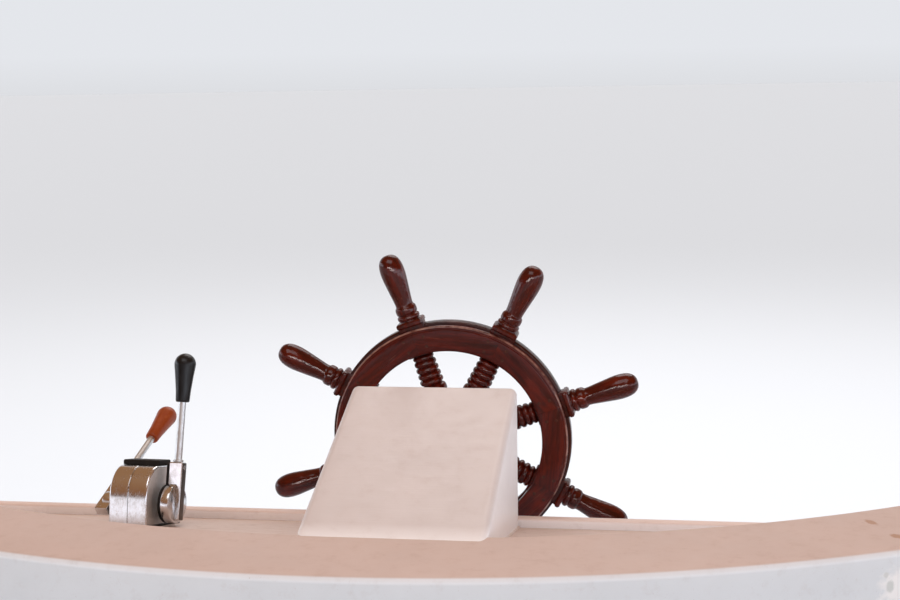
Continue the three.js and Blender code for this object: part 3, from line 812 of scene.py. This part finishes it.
# Bearing flange and shaft
FLANGE_Y, FLANGE_Z, FLANGE_THICK = DASH_AFT_Y + GAP, WHEEL_CENTRE.z - 0.013, 0.014
flange_frame = Matrix.Translation((0, FLANGE_Y, FLANGE_Z)) @ Matrix.Rotation(-math.pi / 2, 4, "X")
bore = SHAFT_RADIUS + 0.0008
flange_turning = [
    (bore, 0), (0.0612, 0), (0.062, 0.001), (0.062, 0.0112), (0.0612, 0.0130), (0.0592, FLANGE_THICK),
    (bore, FLANGE_THICK),
]
flange = piece("bearing_plate", turned(flange_turning, 96, closed=True), stainless, flange_frame)
fit(flange, "console", "steel", "bearing_flange")
boss_turning = [
    (bore, 0.172), (0.0405, 0.170), (0.0378, 0.160), (0.036, 0.150), (0.036, 0.1125), (0.0352, 0.1107),
    (0.0335, 0.110), (bore, 0.110),
]
boss = piece("bearing_boss", turned(flowing(boss_turning, 2), 72, closed=True), stainless, WHEEL_FRAME)
fit(boss, "console", "steel")

shaft_start = -HUB_HALF - 0.006
shaft_turning = [
    (0, shaft_start), (SHAFT_RADIUS - 0.001, shaft_start), (SHAFT_RADIUS, shaft_start + 0.001),
    (SHAFT_RADIUS, SHAFT_END - 0.001), (SHAFT_RADIUS - 0.001, SHAFT_END), (0, SHAFT_END),
]
shaft = piece("steering_shaft", turned(shaft_turning, 64), stainless, WHEEL_FRAME)
fit(shaft, "wheel", "steel", "wheel_shaft")


# Wheel rim
def rim_part(loop, start, end, steps, seed, cut=0.0):
    """A stretch of rim: a closed section of (radius, depth) carried round the wheel, as a straight board.

    Its ends lie along the radius, or beside it by the cut. The grain is square to the middle radius.
    """
    lines = []
    for r, z in loop:
        margin = math.asin(cut / r)
        turns = even(start + margin, end - margin, steps)
        lines.append([(r * math.sin(a), r * math.cos(a), z) for a in turns])
    points, faces = loft(list(zip(*lines)))
    draw = random.Random(seed)
    shift = [draw.uniform(0, 3) for _ in range(3)]
    middle = (start + end) / 2
    sine, cosine = math.sin(middle), math.cos(middle)
    laid = [(x * cosine - y * sine, x * sine + y * cosine, z) for x, y, z in points]
    grain = [tuple(value + moved for value, moved in zip(place, shift)) for place in laid]
    return points, faces, grain, draw.uniform(0.15, 0.85)


def ring_loop(outer, side):
    """Section of a rim ring: eased inner edge, flat face, a small step and an ovolo on the outer edge."""
    ease, round_high, round_wide = 0.0045, 0.0064, 0.0066
    loop = [(RIM_INNER, FELLOE_HALF + GAP), (RIM_INNER, RIM_FACE - ease)]
    for c, s in quarter(5)[1:]:
        loop.append((RIM_INNER + ease * (1 - c), RIM_FACE - ease + ease * s))
    loop += [(0.195, RIM_FACE), (0.208, RIM_FACE), (outer - 0.0084, RIM_FACE)]
    loop += [(outer - 0.0074, RIM_FACE - 0.0005), (outer - 0.0070, RIM_FACE - 0.0020)]
    for c, s in quarter(7):
        loop.append((outer - round_wide + round_wide * s, RIM_FACE - 0.0088 + round_high * c))
    loop.append((outer, FELLOE_HALF + GAP))
    return [(r, side * z) for r, z in loop]


SEAM = 0.0006
front_parts, back_parts, felloe_parts = [], [], []
front = ring_loop(FRONT_RING_OUTER, 1)
back = ring_loop(BACK_RING_OUTER, -1)
felloe_eases = (0.0015, 0.004, 0.004, 0.0015)
felloe_loop = rounded_loop(FELLOE_INNER, FELLOE_OUTER, -FELLOE_HALF, FELLOE_HALF, felloe_eases, 0, 4)
for i in range(SPOKES):
    a = FIRST_SPOKE + i * SPOKE_STEP
    b = a + SPOKE_STEP / 2
    front_parts.append(rim_part(front, a + SEAM, a + SPOKE_STEP - SEAM, 24, 100 + i))
    back_parts.append(rim_part(back, b + SEAM, b + SPOKE_STEP - SEAM, 24, 200 + i))
    felloe_parts.append(rim_part(felloe_loop, a, a + SPOKE_STEP, 20, 300 + i, BLOCK_WIDTH / 2 + GAP))


def mark_wear_and_highlight(ring, outer):
    """Marks the round of a ring's outer edge for the wood's paler colour there, partly wear and partly a
    painted highlight, before it is set in place.
    """
    x, y, z = read(ring.data.vertices, "co", 3).T
    on_round = (np.hypot(x, y) > outer - 0.0028) & (np.abs(z) > RIM_FACE - 0.0068)
    store(ring.data, "worn", on_round.astype(float))


felloe_nodes = [f"felloe_{i}" for i in range(1, SPOKES + 1)]
for name, parts, material, slot, nodes, outer in (
    ("rim_front", front_parts, wood, "wood", ["rim_front_ring"], FRONT_RING_OUTER),
    ("rim_aft", back_parts, wood, "wood", ["rim_back_ring"], BACK_RING_OUTER),
    ("rim_felloes", felloe_parts, wood_core, "wood_core", felloe_nodes, None),
):
    shape, grain, shade = merged(parts)
    part = piece(name, shape, material, None, grain, shade)
    if outer is not None:
        mark_wear_and_highlight(part, outer)
    part.data.transform(WHEEL_FRAME)
    fit(part, "wheel", slot, *nodes)

# One spoke, standing along +Z, then set round the hub: (radius, height) in millimetres
INNER_TURNING = [
    (0, 78.3), (17.8, 78.3), (17.5, 84), (17, 89), (21.5, 92.5), (24.3, 98), (24.7, 103), (23.5, 109),
    (18.5, 113.5), (22.5, 116.5), (23.6, 120), (22.6, 123.5), (19, 126.3), (22.2, 129), (23.1, 132.5),
    (22.1, 136), (18.5, 138.8), (21.7, 141.5), (22.6, 145), (21.6, 148.5), (18.4, 151.3), (21.2, 154),
    (22.1, 157.5), (21.1, 161), (18, 163.8), (20.3, 166.5), (21, 170), (18, 173.5), (11.5, 175.5), (0, 176),
]
OUTER_TURNING = [
    (0, 244), (19.6, 244.6), (19.4, 247), (18.8, 248.6), (20.8, 250.0), (21.9, 252.2), (22.1, 254.6),
    (21.5, 257), (19.6, 258.8), (18.7, 260), (19.8, 261.4), (20.7, 263.6), (20.9, 267), (20.8, 270.6),
    (20.0, 273.8), (18.4, 276), (17.2, 278), (17.2, 283), (18.1, 292), (19.6, 304), (21.3, 318),
    (22.9, 332), (23.6, 343), (23.3, 353), (21.6, 363), (18.2, 371), (12.8, 376.8), (6.4, 379.6), (0, 380),
]


def spoke_block(width, thick, z0, z1, ease):
    """A squared block on the spoke with eased edges."""
    loops = []
    for z, shrink in edge_levels(z0, z1, ease):
        plan = rounded_loop(-width / 2, width / 2, -thick / 2, thick / 2, (ease * 1.3,) * 4, shrink, 3)
        loops.append(lying(plan, z))
    return loft(loops)


def in_metres(profile):
    return [(r / 1000, h / 1000) for r, h in profile]


PAD_DEPTH = 0.044
spoke_parts = []
for points, faces in (
    turned(flowing(in_metres(INNER_TURNING), 3), 48),
    spoke_block(BLOCK_WIDTH, 2 * (FELLOE_HALF - GAP), 0.174, 0.2405, 0.0012),
    spoke_block(BLOCK_WIDTH, PAD_DEPTH, 0.2362, 0.2468, 0.0028),
    turned(flowing(in_metres(OUTER_TURNING), 3), 56),
):
    spoke_parts.append((points, faces, [(z, x, y) for x, y, z in points], 0.5))
shape, grain, shade = merged(spoke_parts)
spoke = piece("spoke_pattern", shape, wood, None, grain, shade, sharp=38)
spokes = set_round(spoke, "turned_spokes", wood, WHEEL_FRAME)
fit(spokes, "wheel", "wood", *[f"spoke_{i}" for i in range(1, SPOKES + 1)])

# Hub, plates and nut
half_nave = [
    (78.0, 0), (77.8, 17.5), (75.5, 22), (71.5, 24.5), (66.8, 25.5), (67.5, 29), (66.5, 34), (63, 37.2),
    (58, 38),
]
half_nave = in_metres(half_nave) + [(BORE_OF_HUB, HUB_HALF)]
nave_turning = [(r, -h) for r, h in reversed(half_nave)] + half_nave[1:]
points, faces = turned(flowing(nave_turning, 3), 128, closed=True)
nave_grain = [(z * 0.4, x, y) for x, y, z in points]
nave = piece("wheel_nave", (points, faces), wood, WHEEL_FRAME, nave_grain, 0.4, sharp=40)
fit(nave, "wheel", "wood", "hub")

PLATE_RADIUS = 0.052
plate_turning = [
    (BORE_OF_HUB, 0.0383), (PLATE_RADIUS, 0.0383), (PLATE_RADIUS, 0.0410), (0.0512, 0.0420),
    (0.0495, 0.0424), (0.030, PLATE_FACE), (BORE_OF_HUB, PLATE_FACE),
]
for side, node in ((1, "hub_plate_front"), (-1, "hub_plate_aft")):
    shape = turned([(r, side * h) for r, h in plate_turning], 96, closed=True)
    fit(piece(node + "_disc", shape, brass, WHEEL_FRAME), "wheel", "brass", node)

nut_turning = [
    (0, 0), (27, 0.2), (27.2, 3), (26.2, 5.2), (22.2, 6.2), (21.6, 10), (20, 16.5), (15.5, 21.5), (8, 24.2),
    (0, 24.8),
]
nut_start = -HUB_HALF - 0.0063
nut_shape = turned([(r, nut_start - h) for r, h in flowing(in_metres(nut_turning), 4)], 64)
fit(piece("hub_cap_nut", nut_shape, brass, WHEEL_FRAME), "wheel", "brass", "hub_nut")


# Small fastenings
def on_wheel(radius, angle, height, side):
    """A place on one face of the wheel, and the way out of that face."""
    place = Vector((radius * math.sin(angle), radius * math.cos(angle), side * height))
    return WHEEL_FRAME @ place, WHEEL_FRAME.to_3x3() @ Vector((0, 0, side))


small_screw = slotted_head("screw_small", 0.0038, 0.0018, 0.0006, brass)
SCREW_CIRCLE = 0.042
hub_places = []
for side in (1, -1):
    for k in range(4):
        hub_places.append(on_wheel(SCREW_CIRCLE, math.radians(45 - 90 * k), PLATE_FACE, side))
fit(fasten("hub_plate_screws", hub_places, small_screw, brass), "wheel", "brass")

PLUG_RADIUS = 0.0034
plug_turning = [(0, -0.0015), (PLUG_RADIUS, -0.0015), (PLUG_RADIUS, 0.00012), (0, 0.00022)]
points, faces = turned(plug_turning, 20)
plug = piece("plug_pattern", (points, faces), plug_wood, None, points, 0.5)
plug_places = []
scatter = random.Random(5)
for i in range(SPOKES):
    for side, base in ((1, 0.0), (-1, 0.5)):
        for along, radius in ((-0.019, 0.192), (0.019, 0.192), (-0.021, 0.213), (0.021, 0.213)):
            a = FIRST_SPOKE + (i + base) * SPOKE_STEP + along / radius + scatter.uniform(-0.008, 0.008)
            plug_places.append(on_wheel(radius + scatter.uniform(-0.0015, 0.0015), a, RIM_FACE, side))
fit(fasten("rim_plugs", plug_places, plug, plug_wood, 9), "wheel", "wood")

panel_screw = slotted_head("screw_panel", 0.0055, 0.0026, 0.0009, stainless)
SCREW_INSET = 0.018
row = COVER_HALF - SCREW_INSET
ends = (COVER_LOW + SCREW_INSET, COVER_HIGH - SCREW_INSET)
spots = [(x, z) for x in (-row, -row / 3, row / 3, row) for z in ends]
spots += [(x, (COVER_LOW + COVER_HIGH) / 2) for x in (-row, row)]
cover_places = [((BODY_MIDDLE_X + x, cover_face, z), (0, 1, 0)) for x, z in spots]
fit(fasten("cover_screws", cover_places, panel_screw, stainless), "console", "steel")

BOLT_RADIUS = 0.0065
bolt_turning = [(0, -0.0005), (BOLT_RADIUS, -0.0005), (BOLT_RADIUS, 0.0042), (BOLT_RADIUS - 0.0008, 0.005)]
bolt = piece("bolt_head", turned(bolt_turning + [(0, 0.005)], 6), stainless, sharp=20)
BOLT_CIRCLE = 0.049
bolt_places = []
for k in range(4):
    a = math.radians(45 + 90 * k)
    place = (BOLT_CIRCLE * math.cos(a), FLANGE_Y + FLANGE_THICK, FLANGE_Z + BOLT_CIRCLE * math.sin(a))
    bolt_places.append((place, (0, 1, 0)))
fit(fasten("flange_bolts", bolt_places, bolt, stainless), "console", "steel")


# Engine control
def housing_edge():
    """Side outline of the housing as (y, z): upright front, quarter-round shoulders, flat top."""
    foot, front_high, aft_high = GASKET_THICK + GAP, HOUSING_HEIGHT - 0.050, HOUSING_HEIGHT - 0.040
    out = [(HOUSING_FRONT, foot)]
    for c, s in quarter(40):
        out.append((LID_FRONT - (LID_FRONT - HOUSING_FRONT) * c, HOUSING_HEIGHT - front_high * (1 - s)))
    for c, s in reversed(quarter(30)):
        out.append((LID_AFT + (HOUSING_AFT - LID_AFT) * c, HOUSING_HEIGHT - aft_high * (1 - s)))
    return out + [(HOUSING_AFT, foot)]


def pulled_in(loop, amount):
    """The loop moved inwards by amount; its two feet stay level."""
    out = []
    last = len(loop) - 1
    for i, (y, z) in enumerate(loop):
        a, b = loop[max(i - 1, 0)], loop[min(i + 1, last)]
        along = Vector((b[0] - a[0], b[1] - a[1])).normalized()
        drop = -along.x * amount if 0 < i < last else 0.0
        out.append((y + along.y * amount, z + drop))
    return out


edge_line = housing_edge()
SEAM_ROUND, CHEEK_ROUND, CHEEK_FLAT = 0.0009, 0.0034, 0.006
rows = [(GAP + SEAM_ROUND * (1 - c), SEAM_ROUND * (1 - s)) for c, s in quarter(4)]
rows += [(GAP + CHEEK_FLAT, 0.0), (HOUSING_HALF - CHEEK_FLAT, 0.0)]
rows += [(HOUSING_HALF - CHEEK_ROUND * (1 - s), CHEEK_ROUND * (1 - c)) for c, s in quarter(6)]
for side, node in ((-1, "housing_starboard"), (1, "housing_port")):
    loops = [standing(pulled_in(edge_line, amount), side * x) for x, amount in rows]
    half_cover = piece(node + "_cover", loft(loops), chrome, CONTROL_FRAME, sharp=50)
    half_cover.data.materials.append(cast_steel)
    cheek_way = CONTROL_FRAME.to_3x3() @ Vector((side, 0, 0))
    for face in half_cover.data.polygons:
        if face.normal.dot(cheek_way) > 0.999:
            face.material_index = 1
    fit(half_cover, "console", "chrome", node)

GASKET_RIM = 0.006
gasket_side = HOUSING_HALF + GASKET_RIM
gasket_ends = (HOUSING_FRONT - GASKET_RIM, HOUSING_AFT + GASKET_RIM)
gasket_loops = []
for z, shrink in ((0.0, 0.0), (GASKET_THICK - 0.0006, 0.0), (GASKET_THICK, 0.0008)):
    plan = rounded_loop(-gasket_side, gasket_side, *gasket_ends, (0.004,) * 4, shrink, 5)
    gasket_loops.append(lying(plan, z))
gasket = piece("control_foot_gasket", loft(gasket_loops), rubber, CONTROL_FRAME)
fit(gasket, "console", "rubber", "control_gasket")

lid_low = HOUSING_HEIGHT + GAP


def lid_loop(x, shrink):
    eases = (0.0008, 0.0008, 0.003, 0.003)
    return standing(rounded_loop(LID_FRONT, LID_AFT, lid_low, lid_low + LID_THICK, eases, shrink, 4), x)


lid_shape = loft(eased(lid_loop, -HOUSING_HALF + 0.001, HOUSING_HALF - 0.001, 0.0022))
fit(piece("control_top_lid", lid_shape, rubber, CONTROL_FRAME), "console", "rubber", "control_lid")


def turned_across(side, profile, steps):
    """A turning about the levers' pivot line, out to one side."""
    points, faces = turned(profile, steps)
    return [(side * z, x, y) for x, y, z in points], faces


def lever_hub_shape(side, radius):
    inner, outer = LEVER_HUB_INNER, LEVER_HUB_OUTER
    profile = [
        (0.0, HOUSING_HALF + GAP), (SPINDLE_RADIUS, HOUSING_HALF + GAP), (SPINDLE_RADIUS, inner),
        (radius - 0.0015, inner), (radius - 0.0004, inner + 0.0005), (radius, inner + 0.0016),
        (radius, outer - 0.0016), (radius - 0.0004, outer - 0.0005), (radius - 0.0015, outer), (0.0, outer),
    ]
    return turned_across(side, profile, 96)


def lever_bar_shape(middle):
    """The bar stands along +Z with a rounded foot and top."""
    half_x, half_y, corner = LEVER_WIDTH / 2, LEVER_DEPTH / 2, 0.0015

    def loop_at(z, shrink):
        plan = rounded_loop(middle - half_x, middle + half_x, -half_y, half_y, (corner,) * 4, shrink, 5)
        return lying(plan, z)

    return loft(eased(loop_at, LEVER_FOOT, LEVER_TOP - PIVOT_HEIGHT, 0.0024))


shoulder = KNOB_LENGTH - KNOB_RADIUS
knob_profile = [
    (0.0, 0.0), (0.0108, 0.0002), (0.0120, 0.0010), (0.0125, 0.0030), (0.0136, 0.020), (0.0162, 0.044),
    (KNOB_RADIUS - 0.0002, shoulder - 0.003),
]
knob_profile += [(KNOB_RADIUS * c, shoulder + KNOB_RADIUS * s) for c, s in quarter(12)]

# Sizes of the black plate that stands in the gap between lever and housing as painted shade
PLATE_THICK = 0.0042
PLATE_MARGIN = 0.0008
PLATE_TOP = LEVER_TOP - PIVOT_HEIGHT - 0.002
PLATE_CORNER = 0.003


def painted_shade_plate_shape(side, hub_radius):
    """Black plate put as painted shade in the gap between lever and housing: a ring behind the disc, a strip
    behind the bar.
    """
    bar_inner = LEVER_CENTRE - LEVER_WIDTH / 2
    inner, outer = bar_inner - PLATE_THICK, bar_inner - GAP

    def loop_at(x, shrink):
        radius, half = hub_radius - shrink, LEVER_DEPTH / 2 + PLATE_MARGIN - shrink
        top, low = PLATE_TOP - shrink, PLATE_TOP - PLATE_CORNER - shrink
        start = math.asin(half / radius)
        turns = even(start, 2 * math.pi - start, 64)
        out = [(side * x, radius * math.sin(a), radius * math.cos(a)) for a in turns]
        for y, z in ((-half, low), (-half + PLATE_CORNER, top), (half - PLATE_CORNER, top), (half, low)):
            out.append((side * x, y, z))
        return out

    return loft(eased(loop_at, inner, outer, 0.0006))


def lever(side, prefix, lever_frame, body, hub_radius, knob_material, knob_slot):
    disc = piece(prefix + "_hub_disc", lever_hub_shape(side, hub_radius), chrome, lever_frame)
    fit(disc, body, "chrome", prefix + "_disc")

    def disc_tool(name, radius, end, steps, material):
        """A disc from inside the housing out to the given distance, to cut room with."""
        start = 0.03
        tool_profile = [(0, start), (radius, start), (radius, end), (0, end)]
        return piece(name, turned_across(side, tool_profile, steps), material)

    middle = side * LEVER_CENTRE
    bar = piece(prefix + "_lever_bar", lever_bar_shape(middle), chrome)
    room = disc_tool("room_for_hub", hub_radius + GAP, LEVER_HUB_OUTER + GAP, 96, satin_steel)
    bar = cut_from(bar, [room])
    bar.data.materials.append(raw_steel)
    for face in bar.data.polygons:
        if abs(face.normal.x) > 0.97:
            face.material_index = len(bar.data.materials) - 1
    bar.data.transform(lever_frame)
    fit(bar, body, "chrome", prefix + "_bar")

    # a black plate in the gap between lever and housing, as painted shade
    plate = piece(prefix + "_friction_plate", painted_shade_plate_shape(side, hub_radius), black_knob)
    hole = disc_tool("room_for_spindle", SPINDLE_RADIUS + GAP, LEVER_HUB_INNER, 48, black_knob)
    plate = cut_from(plate, [hole])
    plate.data.transform(lever_frame)
    fit(plate, body, "black_plastic")

    rod_low, rod_high = LEVER_TOP - PIVOT_HEIGHT + GAP, KNOB_START - PIVOT_HEIGHT - GAP
    rod_profile = [
        (0.0, rod_low), (0.0088, rod_low), (0.0092, rod_low + 0.0006), (0.0092, rod_low + 0.0032),
        (0.0086, rod_low + 0.0040), (ROD_RADIUS, rod_low + 0.0042), (ROD_RADIUS, rod_high), (0.0, rod_high),
    ]
    stand = lever_frame @ Matrix.Translation((middle, 0, 0))
    rod = piece(prefix + "_lever_rod", turned(rod_profile, 48), satin_steel, stand)
    fit(rod, body, "chrome", prefix + "_rod")

    top = stand @ Matrix.Translation((0, 0, KNOB_START - PIVOT_HEIGHT))
    knob = piece(prefix + "_hand_knob", turned(knob_profile, 72), knob_material, top, sharp=60)
    fit(knob, body, knob_slot, prefix + "_knob")

    # set screw that clamps the rod
    outer = side * (LEVER_CENTRE + LEVER_WIDTH / 2)
    outward = lever_frame.to_3x3() @ Vector((side, 0, 0))
    places = [(lever_frame @ Vector((outer, 0, SET_SCREW_HEIGHT)), outward)]
    fit(fasten(prefix + "_set_screw", places, small_screw, stainless), body, "chrome")


lever(1, "gear", GEAR_FRAME, "gear_lever", GEAR_HUB_RADIUS, black_knob, "black_plastic")
lever(-1, "throttle", THROTTLE_FRAME, "throttle_lever", THROTTLE_HUB_RADIUS, brown_knob, "brown_plastic")

for pattern in (small_screw, panel_screw, bolt, plug):
    bpy.data.objects.remove(pattern)

# Room, light and camera
floor_material = finish(new_material("studio floor")[0], Base_Color=linear("#dfe2e6"), Roughness=0.9)
FLOOR_RADIUS = 400
floor_angles = [k * math.pi / 32 for k in range(64)]
floor_points = [(FLOOR_RADIUS * math.cos(a), FLOOR_RADIUS * math.sin(a), 0) for a in floor_angles]
floor_mesh = bpy.data.meshes.new("studio_floor")
floor_mesh.from_pydata(floor_points, [], [tuple(range(64))])
floor_mesh.materials.append(floor_material)
floor = put_in_scene("studio_floor", floor_mesh)

# Soft studio light from all round: a bright low band of haze with a darker stretch ahead of the control,
# a warm tan dome overhead and a pale stretch low over the aft half
world = bpy.data.worlds.new("soft studio")
bpy.context.scene.world = world
world.use_nodes = True
sky = world.node_tree
sky.nodes.clear()
heading = add(sky, "ShaderNodeTexCoord").outputs["Generated"]
axes = add(sky, "ShaderNodeSeparateXYZ", {0: heading}).outputs
rise = spread(sky, axes["Z"], -0.03, 0.02)
fall = spread(sky, axes["Z"], 0.15, 0.26, 1.0, 0.0)
facing_aft = spread(sky, axes["Y"], -1.0, 1.0)
round_stops = [(0.01, "#909090"), (0.08, "#ffffff"), (0.55, "#ffffff"), (0.93, "#383838")]
round_about = ramp(sky, facing_aft, round_stops)
toward = {0: heading, 1: (-0.64, -0.77, 0.0)}
ahead_of_control = add(sky, "ShaderNodeVectorMath", toward, operation="DOT_PRODUCT").outputs["Value"]
clear_of_control = spread(sky, ahead_of_control, 0.84, 0.95, 1.0, 0.0)
open_sides = maths(sky, "MULTIPLY", round_about, clear_of_control)
band = maths(sky, "MULTIPLY", maths(sky, "MULTIPLY", rise, fall), open_sides)
dome_stops = [(0.0, "#7d6a62"), (0.14, "#7d6a62"), (0.30, "#956440"), (0.75, "#a67a55")]
aft_stops = [(0.0, "#d5d6d9"), (0.06, "#d5d6d9"), (0.16, "#f0f0f2"), (0.36, "#f0f0f2"), (0.55, "#a67a55")]
to_aft = spread(sky, axes["Y"], 0.34, 0.60)
dome = blend(sky, to_aft, ramp(sky, axes["Z"], dome_stops), ramp(sky, axes["Z"], aft_stops))
overhead = add(sky, "ShaderNodeBackground", {"Color": dome, "Strength": 1.0})
glow = maths(sky, "MULTIPLY", band, 3.5)
haze = add(sky, "ShaderNodeBackground", {"Color": linear("#e8f1ff"), "Strength": glow})
both = add(sky, "ShaderNodeAddShader", {0: overhead.outputs[0], 1: haze.outputs[0]})
add(sky, "ShaderNodeOutputWorld", {"Surface": both.outputs[0]})


def softbox(name, place, target, size, power, colour, pieces=()):
    """A rectangular lamp aimed at the target. Where pieces are given, it lights them alone."""
    lamp = bpy.data.lights.new(name, "AREA")
    lamp.shape = "RECTANGLE"
    lamp.size, lamp.size_y = size
    lamp.energy = power
    lamp.color = linear(colour)[:3]
    made = put_in_scene(name, lamp)
    made.location = place
    made.rotation_euler = (Vector(target) - Vector(place)).to_track_quat("-Z", "Y").to_euler()
    made.visible_camera = False
    if pieces:
        group = bpy.data.collections.new(name + " pieces")
        for lit in pieces:
            group.objects.link(lit)
        made.light_linking.receiver_collection = group
    return made


softbox("bow_softbox", (-0.3, -2.2, 4.4), (0.1, 0.0, 0.85), (3.2, 2.0), 56, "#f6f9ff")
softbox("aft_softbox", (0.3, 5.0, 6.5), (0.0, 0.3, 0.95), (5.0, 4.0), 200, "#fdfdff")
# A wide cool wash for the floor alone, which evens out the dome's tan on it
softbox("floor_wash", (0.0, 250.0, 60.0), (0.0, 250.0, 0.0), (900.0, 900.0), 1800000, "#dbf3ff", [floor])
# White cards for the control's plated metal: one low inside the coaming, one over the bow for the bar
low_place, low_target = (-0.64, -0.105, 0.867), (-0.311, 0.839, 0.867)
plated_names = ("housing_starboard_cover", "housing_port_cover", "gear_hub_disc")
plated = [bpy.data.objects[name] for name in plated_names]
softbox("low_card", low_place, low_target, (0.40, 0.085), 0.092, "#eef3ff", plated)
bar = [bpy.data.objects["gear_lever_bar"]]
softbox("bar_card", (-1.38, -1.08, 1.37), (-0.45, 0.03, 0.98), (0.9, 0.7), 3.0, "#eef3ff", bar)
# A long low card over the bow, which draws a bright line on the handles' varnish
handle_place, handle_target = (0.0, -3.2, 1.62), (0.0, 0.4, 1.25)
handle_card = softbox("handle_card", handle_place, handle_target, (3.4, 0.40), 64, "#fff1ee", [spokes])
handle_card.visible_diffuse = False
# A cool card over the port bow for the lip's white inner face
softbox("lip_card", (0.9, -0.9, 1.35), (0.35, 0.218, 0.80), (0.5, 0.3), 3.2, "#c9e8ff", [lip])

# The camera's place, and its turn in radians
CAMERA_PLACE = (0.4465365, -2.4373631, 1.6080538)
YAW, PITCH, ROLL = -0.156104323, 0.144147558, -0.0162697209
camera_data = bpy.data.cameras.new("camera")
camera_data.sensor_width = 36.0
camera_data.lens = 60.0
camera = put_in_scene("camera", camera_data)
aimed = Matrix.Rotation(-YAW, 4, "Z") @ Matrix.Rotation(math.pi / 2 - PITCH, 4, "X")
camera.matrix_world = Matrix.Translation(CAMERA_PLACE) @ aimed @ Matrix.Rotation(ROLL, 4, "Z")
bpy.context.scene.camera = camera
bpy.context.scene.view_settings.view_transform = "Standard"
